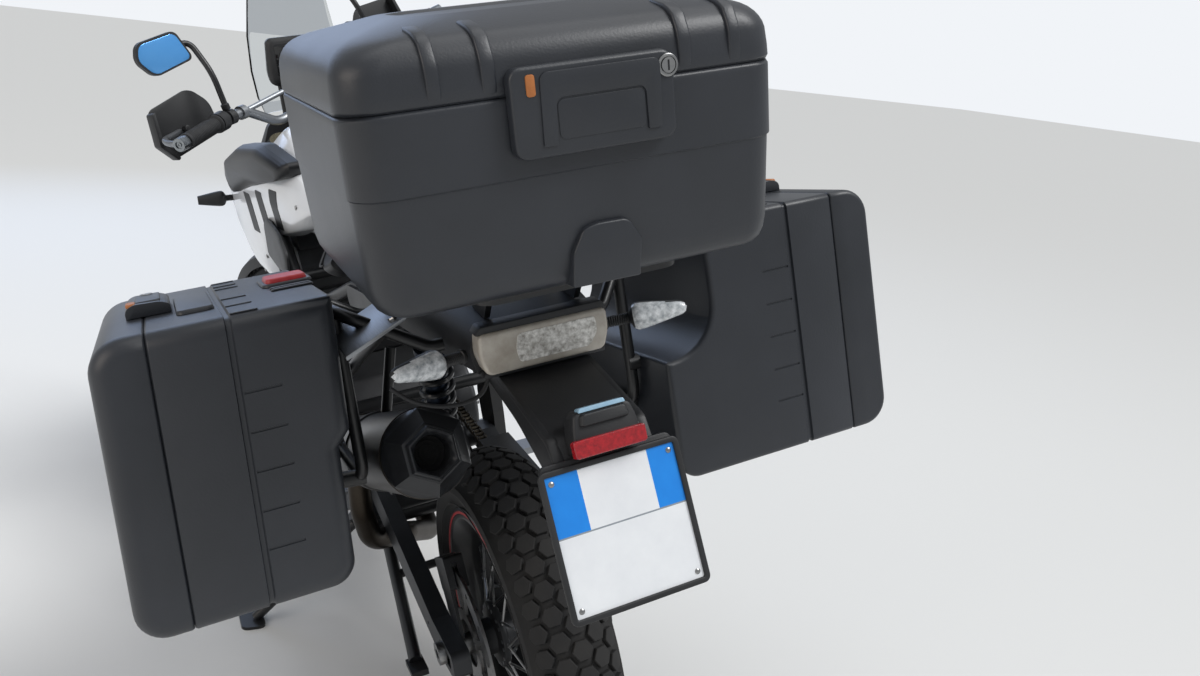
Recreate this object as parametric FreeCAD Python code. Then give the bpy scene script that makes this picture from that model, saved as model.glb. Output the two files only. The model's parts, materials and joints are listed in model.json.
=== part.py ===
# Adventure motorcycle with three hard cases, standing on its side stand.
# Lengths are millimetres and angles are degrees. Every piece is drawn on the upright machine:
# X to its right, Y forward, Z up, with the origin on the ground under the rear axle.
# The finished machine is then leaned onto its side stand with the steering on its left stop.
import FreeCAD, Part
import math
import os

V = FreeCAD.Vector

# Wheels and chassis geometry
wheelbase = 1578.0
head_angle = 64.0
trail = 117.0
lean_angle = 12.4
steering_lock = 32.0

rear_tyre_radius = 321.0
rear_tyre_width = 150.0
rear_rim_radius = 216.0
rear_rim_width = 122.0
front_tyre_radius = 348.0
front_tyre_width = 92.0
front_rim_radius = 267.0
front_rim_width = 74.0
tyre_crown_steps = 8
spoke_count = 36
spoke_radius = 2.2
axle_radius = 14.0
axle_bore = 9.0
running_gap = 0.4
seat_gap = 0.3

# Brakes and chain drive
front_disc_radius = 150.0
front_disc_offset = 62.0
rear_disc_radius = 132.5
rear_disc_offset = 98.0
disc_thickness = 5.0
chain_pitch = 15.875
chain_width = 22.0
chain_line = 98.0
sprocket_thickness = 7.0
rear_sprocket_teeth = 42
front_sprocket_teeth = 17
output_shaft = V(0, 650, 440)

# Swingarm and frame plates
pivot = V(0, 575, 425)
swingarm_inner = 114.0
swingarm_width = 32.0
plate_inner = 152.0
plate_thickness = 24.0
frame_tube_radius = 14.0
subframe_tube_radius = 12.0

# Steering, measured along and square to the steering axis
fork_ahead = 30.0
fork_half_spacing = 105.0
fork_tube_radius = 29.0
fork_slider_radius = 22.5
head_tube_radius = 31.0
stem_radius = 16.0
lower_clamp_at = 945.0
upper_clamp_at = 1165.0
handlebar_at = 1240.0
handlebar_radius = 11.1
handlebar_half_width = 405.0
grip_radius = 16.5

# Engine
crankcase_half_width = 120.0
engine_floor = 290.0
engine_deck = 562.0
cylinder_half_width = 138.0
head_joint = 740.0
head_half_width = 150.0
exhaust_port_spacing = 110.0
header_radius = 19.0
link_pipe_radius = 22.0
silencer_radius = 64.0

# Cases
case_wall = 4.0
seam_gap = 0.6
pannier_rear = -225.0
pannier_length = 455.0
pannier_bottom = 656.0
pannier_top = 1040.0
pannier_outer = 552.0
pannier_seam = 484.0
pannier_round = 42.0
pannier_step = 842.0
# The left case is 0, the right one 34 mm further out; their walls lean, and both hang nose down.
pannier_out = {-1: 0.0, 1: 34.0}
pannier_splay = {-1: 3.8, 1: 0.4}
pannier_droop = 9.0
lid_hinge_radius = 6.0
lid_pin_radius = 3.0
top_case_rear = -468.0
top_case_length = 392.0
top_case_half_width = 250.0
top_case_bottom = 1068.0
top_case_seam = 1284.0
top_case_top = 1366.0
top_case_round = 42.0
latch_middle = 10.0
latch_half_width = 94.0

# Stands
side_stand_pivot = V(-166, 600, 288)
side_stand_foot_reach = 442.0
side_stand_foot_ahead = 30.0
centre_stand_pivot = V(0, 515, 312)
centre_stand_length = 366.0
centre_stand_droop = 18.0

skirt_inner = 131.0
headlamp_floor = 915.0
fairing_inner = 190.0
seat_tie = V(0, 532, 816)
tail_rows = ((44, 898, 936, 990, 128, 138, 112), (-250, 905, 945, 978, 88, 98, 80))

rake = math.radians(90.0 - head_angle)
fork_offset = front_tyre_radius * math.sin(rake) - trail * math.cos(rake)
rear_axle = V(0, 0, rear_tyre_radius)
front_axle = V(0, wheelbase, front_tyre_radius)
steer_foot = V(0, wheelbase + trail, 0)
steer_up = V(0, -math.sin(rake), math.cos(rake))
steer_front = V(0, math.cos(rake), math.sin(rake))
front_axle_at = (front_axle - steer_foot).dot(steer_up)


# Shared shapes

def on_steering(along, ahead, side=0.0):
    # A point given along the steering axis, ahead of it and to the machine's right.
    return steer_foot + steer_up * along + steer_front * ahead + V(side, 0, 0)


def rod(start, end, radius):
    start, end = V(*start), V(*end)
    return Part.makeCylinder(radius, (end - start).Length, start, end - start)


def block(x0, x1, y0, y1, z0, z1):
    return Part.makeBox(x1 - x0, y1 - y0, z1 - z0, V(x0, y0, z0))


def fuse(shapes):
    shapes = list(shapes)
    whole = shapes[0].fuse(shapes[1:]) if len(shapes) > 1 else shapes[0]
    return whole.removeSplitter()


def group(shapes):
    return Part.makeCompound([solid for shape in shapes for solid in shape.Solids])


def mirrored(shape):
    return shape.mirror(V(0, 0, 0), V(1, 0, 0))


def both_sides(shape):
    return [shape, mirrored(shape)]


def corner(before, at, after, radius):
    # The two ends and the middle of the arc that rounds a corner.
    a, b = (before - at).normalize(), (after - at).normalize()
    half = a.getAngle(b) / 2
    run = radius / math.tan(half)
    middle = (a + b).normalize()
    centre = at + middle * (radius / math.sin(half))
    return at + a * run, centre - middle * radius, at + b * run


def closed_wire(points, radii=0.0):
    # A closed outline of straight runs, with each corner rounded by its own radius.
    count = len(points)
    radii = radii if isinstance(radii, (list, tuple)) else [radii] * count
    ends, edges = [], []
    for i, at in enumerate(points):
        if radii[i] > 0:
            first, middle, last = corner(points[i - 1], at, points[(i + 1) % count], radii[i])
            ends.append((first, last))
            edges.append(Part.Arc(first, middle, last).toShape())
        else:
            ends.append((at, at))
            edges.append(None)
    ordered = []
    for i in range(count):
        if edges[i] is not None:
            ordered.append(edges[i])
        start, end = ends[i][1], ends[(i + 1) % count][0]
        if (end - start).Length > 1e-4:
            ordered.append(Part.LineSegment(start, end).toShape())
    return Part.Wire(ordered)


def in_plane(plane, a, b, level):
    return {"yz": V(level, a, b), "xz": V(a, level, b), "xy": V(a, b, level)}[plane]


def prism(plane, outline, low, high, radii=0.0):
    # An outline in one plane, extruded square to it from low to high.
    face = Part.Face(closed_wire([in_plane(plane, a, b, low) for a, b in outline], radii))
    along = {"yz": V(1, 0, 0), "xz": V(0, 1, 0), "xy": V(0, 0, 1)}[plane]
    return face.extrude(along * (high - low))


def bent_tube(points, radius, bend):
    # A round tube along straight runs joined by tangent arcs.
    points = [V(*p) for p in points]
    edges, last = [], points[0]
    for i in range(1, len(points) - 1):
        shorter = min((points[i] - points[i - 1]).Length, (points[i + 1] - points[i]).Length)
        a, b = points[i - 1] - points[i], points[i + 1] - points[i]
        most = 0.49 * shorter * math.tan(a.getAngle(b) / 2)
        first, middle, end = corner(points[i - 1], points[i], points[i + 1], min(bend, most))
        edges += [Part.LineSegment(last, first).toShape(), Part.Arc(first, middle, end).toShape()]
        last = end
    edges.append(Part.LineSegment(last, points[-1]).toShape())
    start = Part.Wire(Part.Circle(points[0], points[1] - points[0], radius).toShape())
    return Part.Wire(edges).makePipeShell([start], True, False)


def post(start, end, radius, tube):
    # A post that starts on a tube's centre line, with its foot hollowed to seat on the tube.
    return rod(start, end, radius).cut(rod(tube[0], tube[1], tube[2] + seat_gap))


def between(start, end, share):
    return V(*start) + (V(*end) - V(*start)) * share


def revolved(outline, centre):
    # An outline of (side, radius) points, turned about the X axis through a centre.
    points = [V(side, 0, radius) for side, radius in outline]
    ring = Part.Face(Part.makePolygon(points + points[:1])).revolve(V(0, 0, 0), V(1, 0, 0), 360)
    ring = Part.Solid(ring.Shells[0]) if not ring.Solids else ring.Solids[0]
    ring.translate(centre)
    return ring


def loft(sections, ruled=True):
    return Part.makeLoft(sections, True, ruled)


def inset_outline(outline, radii, inset):
    # The same outline, given anticlockwise, with each side moved inwards and its corners kept parallel.
    count = len(outline)
    moved, rounds = [], []
    for i in range(count):
        p, q, r = outline[i - 1], outline[i], outline[(i + 1) % count]
        d1, d2 = (q[0] - p[0], q[1] - p[1]), (r[0] - q[0], r[1] - q[1])
        l1, l2 = math.hypot(*d1), math.hypot(*d2)
        n1, n2 = (-d1[1] / l1, d1[0] / l1), (-d2[1] / l2, d2[0] / l2)
        cross = d1[0] * d2[1] - d1[1] * d2[0]
        share = inset / (1 + n1[0] * n2[0] + n1[1] * n2[1])
        moved.append((q[0] + (n1[0] + n2[0]) * share, q[1] + (n1[1] + n2[1]) * share))
        rounds.append(radii[i] - inset if cross > 0 else radii[i] + inset)
    return moved, rounds


def body_section(y, low, shoulder, top, half_low, half_wide, half_top, rounds):
    # A cross-section of bodywork: flat underneath, widest at the shoulder, narrower on top.
    points = [(-half_low, low), (half_low, low), (half_wide, shoulder), (half_top, top), (-half_top, top),
              (-half_wide, shoulder)]
    low_round, side_round, top_round = rounds
    radii = [low_round, low_round, side_round, top_round, top_round, side_round]
    return closed_wire([V(x, y, z) for x, z in points], radii)


def rounded_rectangle(centre_y, half_x, half_y, z, radius):
    points = [V(-half_x, centre_y - half_y, z), V(half_x, centre_y - half_y, z),
              V(half_x, centre_y + half_y, z), V(-half_x, centre_y + half_y, z)]
    return closed_wire(points, radius)


def hex_outline(centre_y, centre_z, across_corners):
    angles = [math.radians(60 * i) for i in range(6)]
    return [(centre_y + across_corners * math.cos(a), centre_z + across_corners * math.sin(a)) for a in angles]


# Wheels

def tyre_outline(radius, width, rim_radius, rim_width):
    # Half-section of a tyre, as (side, radius) points: two beads and a round crown.
    bead = rim_width / 2 - 7.0
    half = width / 2
    sweep = 78.0
    angles = [math.radians(sweep * (2 * i / tyre_crown_steps - 1)) for i in range(tyre_crown_steps + 1)]
    crown = [(half * math.sin(a), radius - half + half * math.cos(a)) for a in angles]
    return [(-bead, rim_radius + seat_gap), (-bead, rim_radius + 15)] + crown + [
        (bead, rim_radius + 15), (bead, rim_radius + seat_gap)]


def rear_outline():
    return tyre_outline(rear_tyre_radius, rear_tyre_width, rear_rim_radius, rear_rim_width)


def front_outline():
    return tyre_outline(front_tyre_radius, front_tyre_width, front_rim_radius, front_rim_width)


def spoked_wheel(centre, rim_radius, rim_width, barrel_radius, flange_radius, flange_at, seat_radius, ends):
    # A rim with a drop centre, a spool hub whose end faces carry the disc or sprocket, and crossed spokes.
    edge, well = rim_width / 2, 24.0
    rim = revolved([(-edge, rim_radius + 12), (-edge, rim_radius - 7), (-well, rim_radius - 24),
                    (well, rim_radius - 24), (edge, rim_radius - 7), (edge, rim_radius + 12),
                    (edge - 6, rim_radius + 12), (edge - 6, rim_radius), (well, rim_radius - 17),
                    (-well, rim_radius - 17), (6 - edge, rim_radius), (6 - edge, rim_radius + 12)], V(0, 0, 0))
    left, right = ends
    bore, web, neck = axle_radius + running_gap, 5.0, 8.0
    hub = revolved([(-left, bore), (right, bore), (right, seat_radius), (right - neck, seat_radius),
                    (right - neck, barrel_radius), (flange_at + web, barrel_radius),
                    (flange_at + web, flange_radius), (flange_at - web, flange_radius),
                    (flange_at - 3 * web, barrel_radius), (3 * web - flange_at, barrel_radius),
                    (web - flange_at, flange_radius), (-flange_at - web, flange_radius),
                    (-flange_at - web, barrel_radius), (neck - left, barrel_radius),
                    (neck - left, seat_radius), (-left, seat_radius)], V(0, 0, 0))
    spokes = []
    for i in range(spoke_count):
        side = 1 if i % 2 else -1
        turn = 1 if (i // 2) % 2 else -1
        at_rim = 2 * math.pi * i / spoke_count
        at_hub = at_rim + turn * math.radians(38)
        low, high = flange_radius - 6, rim_radius - 20
        spokes.append(rod((side * flange_at, low * math.cos(at_hub), low * math.sin(at_hub)),
                          (side * 9, high * math.cos(at_rim), high * math.sin(at_rim)), spoke_radius))
    wheel = fuse([rim, hub] + spokes)
    wheel.translate(centre)
    return wheel


def brake_disc(centre, side, radius, inner_radius, hole_count):
    # A drilled ring on a spider of six arms.
    half, band, arm_half = disc_thickness / 2, 32.0, 8.0
    ring = revolved([(side - half, radius - band), (side + half, radius - band), (side + half, radius),
                     (side - half, radius)], V(0, 0, 0))
    carrier = revolved([(side - half, inner_radius), (side + half, inner_radius),
                        (side + half, inner_radius + 20), (side - half, inner_radius + 20)], V(0, 0, 0))
    arms = []
    for i in range(6):
        arm = block(side - half, side + half, -arm_half, arm_half, inner_radius + 12, radius - band + 6)
        arm.rotate(V(0, 0, 0), V(1, 0, 0), 60.0 * i)
        arms.append(arm)
    disc = fuse([ring, carrier] + arms)
    holes = []
    for i in range(hole_count):
        turn = 2 * math.pi * (i + 0.5) / hole_count
        reach = radius - band / 2
        at = V(side - disc_thickness, reach * math.cos(turn), reach * math.sin(turn))
        holes.append(Part.makeCylinder(4.5, 2 * disc_thickness, at, V(1, 0, 0)))
    disc = disc.cut(holes)
    disc.translate(centre)
    return disc


def sprocket_pitch_radius(teeth):
    return chain_pitch / (2 * math.sin(math.pi / teeth))


def sprocket(centre, teeth, bore_radius, window_radius=0.0):
    # Teeth whose tips run just inside the chain's rollers, and six round windows in a big one.
    tip = sprocket_pitch_radius(teeth) - 6.0
    root = tip - 5.0
    outline = []
    for i in range(teeth):
        for share, radius in ((-0.3, root), (-0.12, tip), (0.12, tip), (0.3, root)):
            turn = 2 * math.pi * (i + share) / teeth
            outline.append((radius * math.cos(turn), radius * math.sin(turn)))
    half = sprocket_thickness / 2
    plate = prism("yz", outline, -half, half)
    holes = [rod((-2 * half, 0, 0), (2 * half, 0, 0), bore_radius)]
    if window_radius > 0:
        reach = (bore_radius + root) / 2
        for i in range(6):
            turn = math.radians(60 * i + 30)
            y, z = reach * math.cos(turn), reach * math.sin(turn)
            holes.append(rod((-2 * half, y, z), (2 * half, y, z), window_radius))
    plate = plate.cut(holes)
    plate.translate(centre)
    return plate


# Chain drive

def belt_loop(x, front_radius, rear_radius):
    # The closed outline that wraps both sprockets: two tangent runs and two arcs.
    front, rear = output_shaft, rear_axle
    span = rear - front
    slope = math.asin((rear_radius - front_radius) / span.Length)
    base = math.atan2(span.z, span.y)

    def at(centre, radius, angle):
        return V(x, centre.y + radius * math.cos(angle), centre.z + radius * math.sin(angle))

    first, second = base + math.pi / 2 + slope, base - math.pi / 2 - slope
    front_a, rear_a = at(front, front_radius, first), at(rear, rear_radius, first)
    front_b, rear_b = at(front, front_radius, second), at(rear, rear_radius, second)
    return Part.Wire([Part.LineSegment(front_a, rear_a).toShape(),
                      Part.Arc(rear_a, at(rear, rear_radius, base), rear_b).toShape(),
                      Part.LineSegment(rear_b, front_b).toShape(),
                      Part.Arc(front_b, at(front, front_radius, base + math.pi), front_a).toShape()])


def loop_band(depth, low, high):
    # A closed band centred on the chain's pitch line.
    solids = []
    for offset in (depth, -depth):
        wire = belt_loop(low, sprocket_pitch_radius(front_sprocket_teeth) + offset,
                         sprocket_pitch_radius(rear_sprocket_teeth) + offset)
        solids.append(Part.Face(wire).extrude(V(high - low, 0, 0)))
    return solids[0].cut(solids[1])


def drive_chain():
    # Rollers between two rows of link plates, as one closed loop.
    half, plate, roller = chain_width / 2, 5.0, 5.0
    return fuse([loop_band(roller, chain_line - half + plate, chain_line + half - plate),
                 loop_band(roller + 2.2, chain_line - half, chain_line - half + plate),
                 loop_band(roller + 2.2, chain_line + half - plate, chain_line + half)])


def chain_guard():
    # A thin cover over the chain's upper run, on the swingarm.
    thick = 3.0
    low, high = chain_line - chain_width / 2 - 6, swingarm_inner + swingarm_width
    cover = prism("yz", [(60, 470), (420, 482), (420, 482 + thick), (60, 470 + thick)], low, high)
    side = prism("yz", [(60, 473), (60, 452), (420, 470), (420, 485)], high - thick, high)
    lug = prism("yz", [(300, arm_top(300) + seat_gap), (330, arm_top(330) + seat_gap), (330, 479), (300, 479)],
                swingarm_inner + 8, high - 8)
    return fuse([cover, side, lug])


# Swingarm and rear running gear

def arm_top(y):
    # Height of the swingarm's upper edge between its axle end and its pivot end.
    start, end = (rear_axle.y + 60, rear_axle.z + 28), (pivot.y - 60, pivot.z + 36)
    return start[1] + (y - start[0]) * (end[1] - start[1]) / (end[0] - start[0])


def swingarm():
    # Two tapered box arms with axle slots, a pivot tube, a cross brace and the shock's lower lugs.
    outer = swingarm_inner + swingarm_width
    rear, front = rear_axle, pivot
    arm = prism("yz", [(rear.y - 56, rear.z - 26), (rear.y + 60, rear.z - 32), (front.y - 60, front.z - 38),
                       (front.y + 24, front.z - 26), (front.y + 24, front.z + 26),
                       (front.y - 60, front.z + 36), (rear.y + 60, rear.z + 28), (rear.y - 56, rear.z + 24)],
                swingarm_inner, outer, [14, 0, 0, 24, 24, 0, 0, 14])
    reach, half = 24.0, axle_radius + running_gap
    slot = prism("yz", [(rear.y - reach - half, rear.z - half), (rear.y + reach, rear.z - half),
                        (rear.y + reach, rear.z + half), (rear.y - reach - half, rear.z + half)],
                 swingarm_inner - 1, outer + 1, 10.0)
    arms = both_sides(arm.cut(slot))
    tube = rod((-outer, pivot.y, pivot.z), (outer, pivot.y, pivot.z), 24)
    cross = prism("yz", [(408, 378), (456, 386), (456, 440), (408, 432)], -swingarm_inner, swingarm_inner, 10)
    lugs = prism("yz", [(392, 425), (430, 425), (420, 468), (400, 468)], -27, 27, [0, 0, 8, 8])
    gap = block(-15, 15, 380, 440, 437, 480)
    pivot_bore = rod((-outer - 1, pivot.y, pivot.z), (outer + 1, pivot.y, pivot.z), 10.3)
    spool = threaded_spools(outer)
    return fuse(arms + [tube, cross, lugs.cut(gap)]).cut([pivot_bore] + spool)


def threaded_spools(outer):
    # Blind holes near the axle ends, where paddock-stand bobbins screw in.
    y, z, depth, radius = 96.0, 320.0, 18.0, 4.0
    return [rod((s * (outer - depth), y, z), (s * (outer + 1), y, z), radius) for s in (-1, 1)]


def rear_axle_parts():
    # A hollow spindle with a nut and head outside the arms, and a spacer each side of the hub.
    outer = swingarm_inner + swingarm_width
    z = rear_axle.z
    shaft = rod((-outer - 12, 0, z), (outer + 16, 0, z), axle_radius)
    nut = prism("yz", hex_outline(0, z, 21), outer + seat_gap, outer + 13)
    head = rod((-outer - 12, 0, z), (-outer - seat_gap, 0, z), 20)
    spacers = [rod((-swingarm_inner + seat_gap, 0, z), (-rear_hub_ends()[0] - running_gap, 0, z), 19),
               rod((rear_hub_ends()[1] + running_gap, 0, z), (swingarm_inner - seat_gap, 0, z), 19)]
    bore = rod((-outer - 20, 0, z), (outer + 20, 0, z), axle_bore)
    return fuse([shaft, nut, head] + spacers).cut(bore)


def rear_hub_ends():
    return (rear_disc_offset - disc_thickness / 2 - seat_gap, chain_line - sprocket_thickness / 2 - seat_gap)


def front_hub_end():
    return front_disc_offset - disc_thickness / 2 - seat_gap


def caliper(centre, side, turn, disc_radius, length, half_width):
    # A caliper body that straddles a disc, given the angle up from straight ahead.
    half_slot = disc_thickness / 2 + 2.0
    body = block(side - half_width, side + half_width, -length / 2, length / 2, disc_radius - 36,
                 disc_radius + 22)
    body = body.makeFillet(5, [e for e in body.Edges if abs(e.tangentAt(0).x) > 0.9])
    slot = block(side - half_slot, side + half_slot, -length, length, disc_radius - 60, disc_radius + 9)
    body = body.cut(slot)
    body.rotate(V(0, 0, 0), V(1, 0, 0), turn - 90.0)
    body.translate(centre)
    return body


def rear_caliper():
    # A sliding caliper above the left arm, on a bracket that hangs on the axle spacer.
    body = caliper(rear_axle, -rear_disc_offset, 62.0, rear_disc_radius, 74, 17)
    outer = -swingarm_inner + seat_gap
    bracket = prism("yz", [(-24, 300), (24, 300), (88, 398), (78, 440), (30, 440)], outer, outer + 5.5, 8)
    hole = rod((outer - 2, 0, rear_axle.z), (outer + 10, 0, rear_axle.z), 19 + seat_gap)
    return fuse([body, bracket.cut(hole)])


def shock_axis():
    low, high = V(0, 410, 455), V(0, 352, 770)
    return low, high, (high - low).normalize()


def shock_damper():
    # Eye, rod, body and top eye of the damper, with the two spring seats.
    low, high, d = shock_axis()
    eye = rod((-14.6, low.y, low.z), (14.6, low.y, low.z), 12)
    return fuse([eye, rod(low, low + d * 60, 10), rod(low + d * 44, low + d * 52, 38),
                 rod(low + d * 50, low + d * 152, 8), rod(low + d * 150, high - d * 27, 23),
                 rod(low + d * 274, low + d * 284, 38), rod(high - d * 28, high, 12),
                 rod((-16, high.y, high.z), (16, high.y, high.z), 14)])


def shock_spring():
    # One coil between the two seats.
    low, high, d = shock_axis()
    wire, coil, turns = 5.5, 31.0, 7.5
    first, last = 52.0 + wire + seat_gap, 274.0 - wire - seat_gap
    helix = Part.makeHelix((last - first) / turns, last - first, coil)
    corners = [math.radians(45 * k + 22.5) for k in range(8)]
    section = [V(coil + wire * math.cos(a), 0, wire * math.sin(a)) for a in corners]
    spring = Part.Wire(helix).makePipeShell([Part.makePolygon(section + section[:1])], True, True)
    spring.Placement = FreeCAD.Placement(low + d * first, FreeCAD.Rotation(V(0, 0, 1), d))
    return spring


# Frame

def frame_plates():
    # The cast plates that hold the swingarm, the rider's footrests and both stands.
    y, z = pivot.y, pivot.z
    outline = [(y - 44, z + 60), (y - 34, z + 165), (y + 30, z + 165), (y + 62, z + 80), (y + 40, z - 60),
               (y + 56, z - 108), (y - 8, z - 108), (y - 40, z - 128), (y - 84, z - 128), (y - 84, z - 92),
               (y - 40, z - 60)]
    radii = [20, 14, 14, 30, 30, 12, 20, 12, 14, 14, 20]
    return both_sides(prism("yz", outline, plate_inner, plate_inner + plate_thickness, radii))


def frame_upper_run():
    # The right upper tube, from the steering head to the pivot plate.
    top, wide = on_steering(upper_clamp_at - 52, 0), head_half_width + frame_tube_radius + 8
    return [(20, top.y - 8, top.z), (112, top.y - 96, top.z - 28), (wide, 968, 905), (wide + 2, 800, 800),
            (plate_inner + 12, 606, 590)]


def frame_lower_run():
    bottom, wide = on_steering(lower_clamp_at + 52, 0), head_half_width + frame_tube_radius + 8
    return [(20, bottom.y - 8, bottom.z), (104, bottom.y - 84, bottom.z - 54), (wide, 1064, 806),
            (wide + 2, 800, 640), (plate_inner + 12, 612, 520)]


def frame():
    # Steering head, a trellis of tubes on each side of the engine, and the pivot plates.
    head = rod(on_steering(lower_clamp_at + 22, 0), on_steering(upper_clamp_at - 22, 0), head_tube_radius)
    bore = rod(on_steering(lower_clamp_at - 50, 0), on_steering(upper_clamp_at + 50, 0), stem_radius + running_gap)
    wide = head_half_width + frame_tube_radius + 8
    upper, lower = frame_upper_run(), frame_lower_run()
    webs = [((wide, 968, 905), (wide, 1056, 801)), ((wide, 968, 905), (wide, 880, 693)),
            ((wide, 800, 800), (wide, 880, 693)), ((wide, 800, 800), (wide - 4, 716, 586))]
    halves = []
    for tube in (upper, lower):
        for s in (-1, 1):
            halves.append(bent_tube([(s * x, y, z) for x, y, z in tube], frame_tube_radius, 110))
    for start, end in webs:
        for s in (-1, 1):
            halves.append(rod((s * start[0], start[1], start[2]), (s * end[0], end[1], end[2]), 9))
    cross = [rod((-wide, 800, 800), (wide, 800, 800), 12),
             rod((-plate_inner - 4, pivot.y - 20, pivot.z + 140), (plate_inner + 4, pivot.y - 20, pivot.z + 140), 14)]
    pivot_pin = rod((-plate_inner - 30, pivot.y, pivot.z), (plate_inner + 30, pivot.y, pivot.z), 10)
    shock_y, shock_z = shock_axis()[1].y, shock_axis()[1].z
    lug = [prism("yz", [(shock_y - 18, shock_z - 20), (shock_y + 18, shock_z - 20), (shock_y + 180, shock_z + 34),
                        (shock_y + 180, shock_z + 60), (shock_y - 18, shock_z + 22)], low, high, 8)
           for low, high in ((-25, -16.4), (16.4, 25))]
    tie = rod((-wide, seat_tie.y, seat_tie.z), (wide, seat_tie.y, seat_tie.z), 13)
    down = [bent_tube([(s * wide, seat_tie.y, seat_tie.z), (s * wide, 620, 760),
                       (s * (wide + 2), 800, 800)], 13, 60) for s in (-1, 1)]
    panel_lugs = []
    for at in (between(lower[1], lower[2], 0.5), between(upper[2], upper[3], 0.25), between(upper[2], upper[3], 0.52)):
        panel_lugs += [rod((s * at.x, at.y, at.z), (s * (fairing_inner - seat_gap), at.y, at.z), 8) for s in (-1, 1)]
    return fuse([head] + halves + cross + frame_plates() + [pivot_pin, tie] + lug + down + panel_lugs).cut(bore)


def subframe_rail(s):
    return [(s * 150, seat_tie.y, seat_tie.z), (s * 118, 400, 872), (s * 118, 60, 925), (s * 78, -190, 950)]


def subframe_strut(s):
    # It stands on the pivot plate's upper edge.
    foot = pivot.z + 165 + seat_gap
    return [(s * (plate_inner + 12), 560, foot), (s * (plate_inner + 12), 560, foot + 24), (s * 140, 380, 735),
            (s * 110, 90, 905)]


def subframe():
    # Rails under the seat, their struts, and the cross ties that carry seat, tail and racks.
    half = 118.0
    tubes = []
    for s in (-1, 1):
        rail = bent_tube(subframe_rail(s), subframe_tube_radius, 80)
        rail = rail.cut(rod((s * 60, seat_tie.y, seat_tie.z), (s * 180, seat_tie.y, seat_tie.z), 13 + seat_gap))
        tubes += [rail, bent_tube(subframe_strut(s), subframe_tube_radius - 1, 80)]
    ties = [rod((-half, y, z), (half, y, z), 9) for y, z in ((360, 878), (60, 925))]
    return fuse(tubes + ties)


# Engine

def crankcase():
    # Crankcase with round side covers, sump, and the output shaft with its sprocket.
    half = crankcase_half_width
    main = prism("yz", [(640, 335), (700, engine_floor), (1015, engine_floor), (1062, 335), (1062, 480),
                        (1052, engine_deck), (862, engine_deck), (790, 592), (672, 580), (640, 540)],
                 -half, half, [20, 30, 30, 30, 20, 12, 0, 12, 20, 20])
    chain_space = block(chain_line - chain_width / 2 - 8, half + 1, 600, 708, 300, 600)
    main = main.cut(chain_space)
    covers = []
    # Columns: side, y, z, radius, reach from the crankcase, round of the rim.
    for s, y, z, radius, reach, rim in ((1, 800, 430, 108, 46, 10), (1, 962, 420, 88, 40, 10),
                                        (-1, 950, 420, 94, 50, 12), (-1, 806, 424, 70, 34, 8)):
        drum = rod((s * (half - 4), y, z), (s * (half + reach), y, z), radius)
        far = [e for e in drum.Edges if abs(e.BoundBox.Center.x) > half + reach - 1]
        covers.append(drum.makeFillet(rim, far))
    pump = [rod((-half, 872, 515), (-half - 28, 872, 515), 30), rod((half, 872, 520), (half + 22, 872, 520), 26)]
    sump = prism("yz", [(760, 262), (980, 262), (1000, engine_floor + 4), (740, engine_floor + 4)], 36, 108, 8)
    shaft = rod((half - 50, output_shaft.y, output_shaft.z),
                (chain_line + 12, output_shaft.y, output_shaft.z), 14)
    gear = sprocket(V(chain_line, output_shaft.y, output_shaft.z), front_sprocket_teeth, 12)
    return fuse([main, sump, shaft, gear] + covers + pump)


def cylinders():
    # Ribbed cylinder block, head and cam cover, with two exhaust ports in front.
    half = cylinder_half_width
    block_shape = prism("yz", [(872, engine_deck + seat_gap), (1044, engine_deck + seat_gap),
                               (1052, head_joint), (884, head_joint)], -half, half, 6)
    ribs = [prism("yz", [(868, z), (1050, z), (1052, z + 6), (870, z + 6)], -half - 6, half + 6, 2)
            for z in (600, 632, 664, 696)]
    head = prism("yz", [(878, head_joint - 2), (1060, head_joint - 2), (1064, 806), (1036, 838), (900, 838),
                        (872, 800)], -head_half_width, head_half_width, 12)
    cover = prism("yz", [(890, 834), (1040, 834), (1022, 866), (912, 866)],
                  -head_half_width + 6, head_half_width - 6, [4, 4, 14, 14])
    ports = [rod((s * exhaust_port_spacing / 2, 1040, 768), (s * exhaust_port_spacing / 2, 1069, 768), 25)
             for s in (-1, 1)]
    inlets = [rod((s * exhaust_port_spacing / 2, 890, 790), (s * exhaust_port_spacing / 2, 832, 814), 22)
              for s in (-1, 1)]
    return fuse([block_shape, head, cover] + ribs + ports + inlets)


def radiator():
    # Core between two side tanks, with a filler neck and a fan shroud behind.
    core = block(-132, 132, 1120, 1148, 575, 785)
    tanks = [prism("xy", [(s * 130, 1116), (s * 166, 1116), (s * 166, 1152), (s * 130, 1152)], 568, 792, 6)
             for s in (-1, 1)]
    neck = rod((-150, 1136, 788), (-150, 1136, 806), 13)
    stays = []
    for s in (-1, 1):
        tube = [(s * x, y, z) for x, y, z in frame_lower_run()[1:3]]
        at = between(tube[0], tube[1], 0.5)
        stays.append(post(at, V(at.x, at.y, 788), 5, (tube[0], tube[1], frame_tube_radius)))
    return fuse([core] + tanks + [neck] + stays)


def silencer_axis():
    front, rear = V(-178, 310, 585), V(-157, -170, 778)
    return front, rear, (rear - front).normalize()


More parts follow.
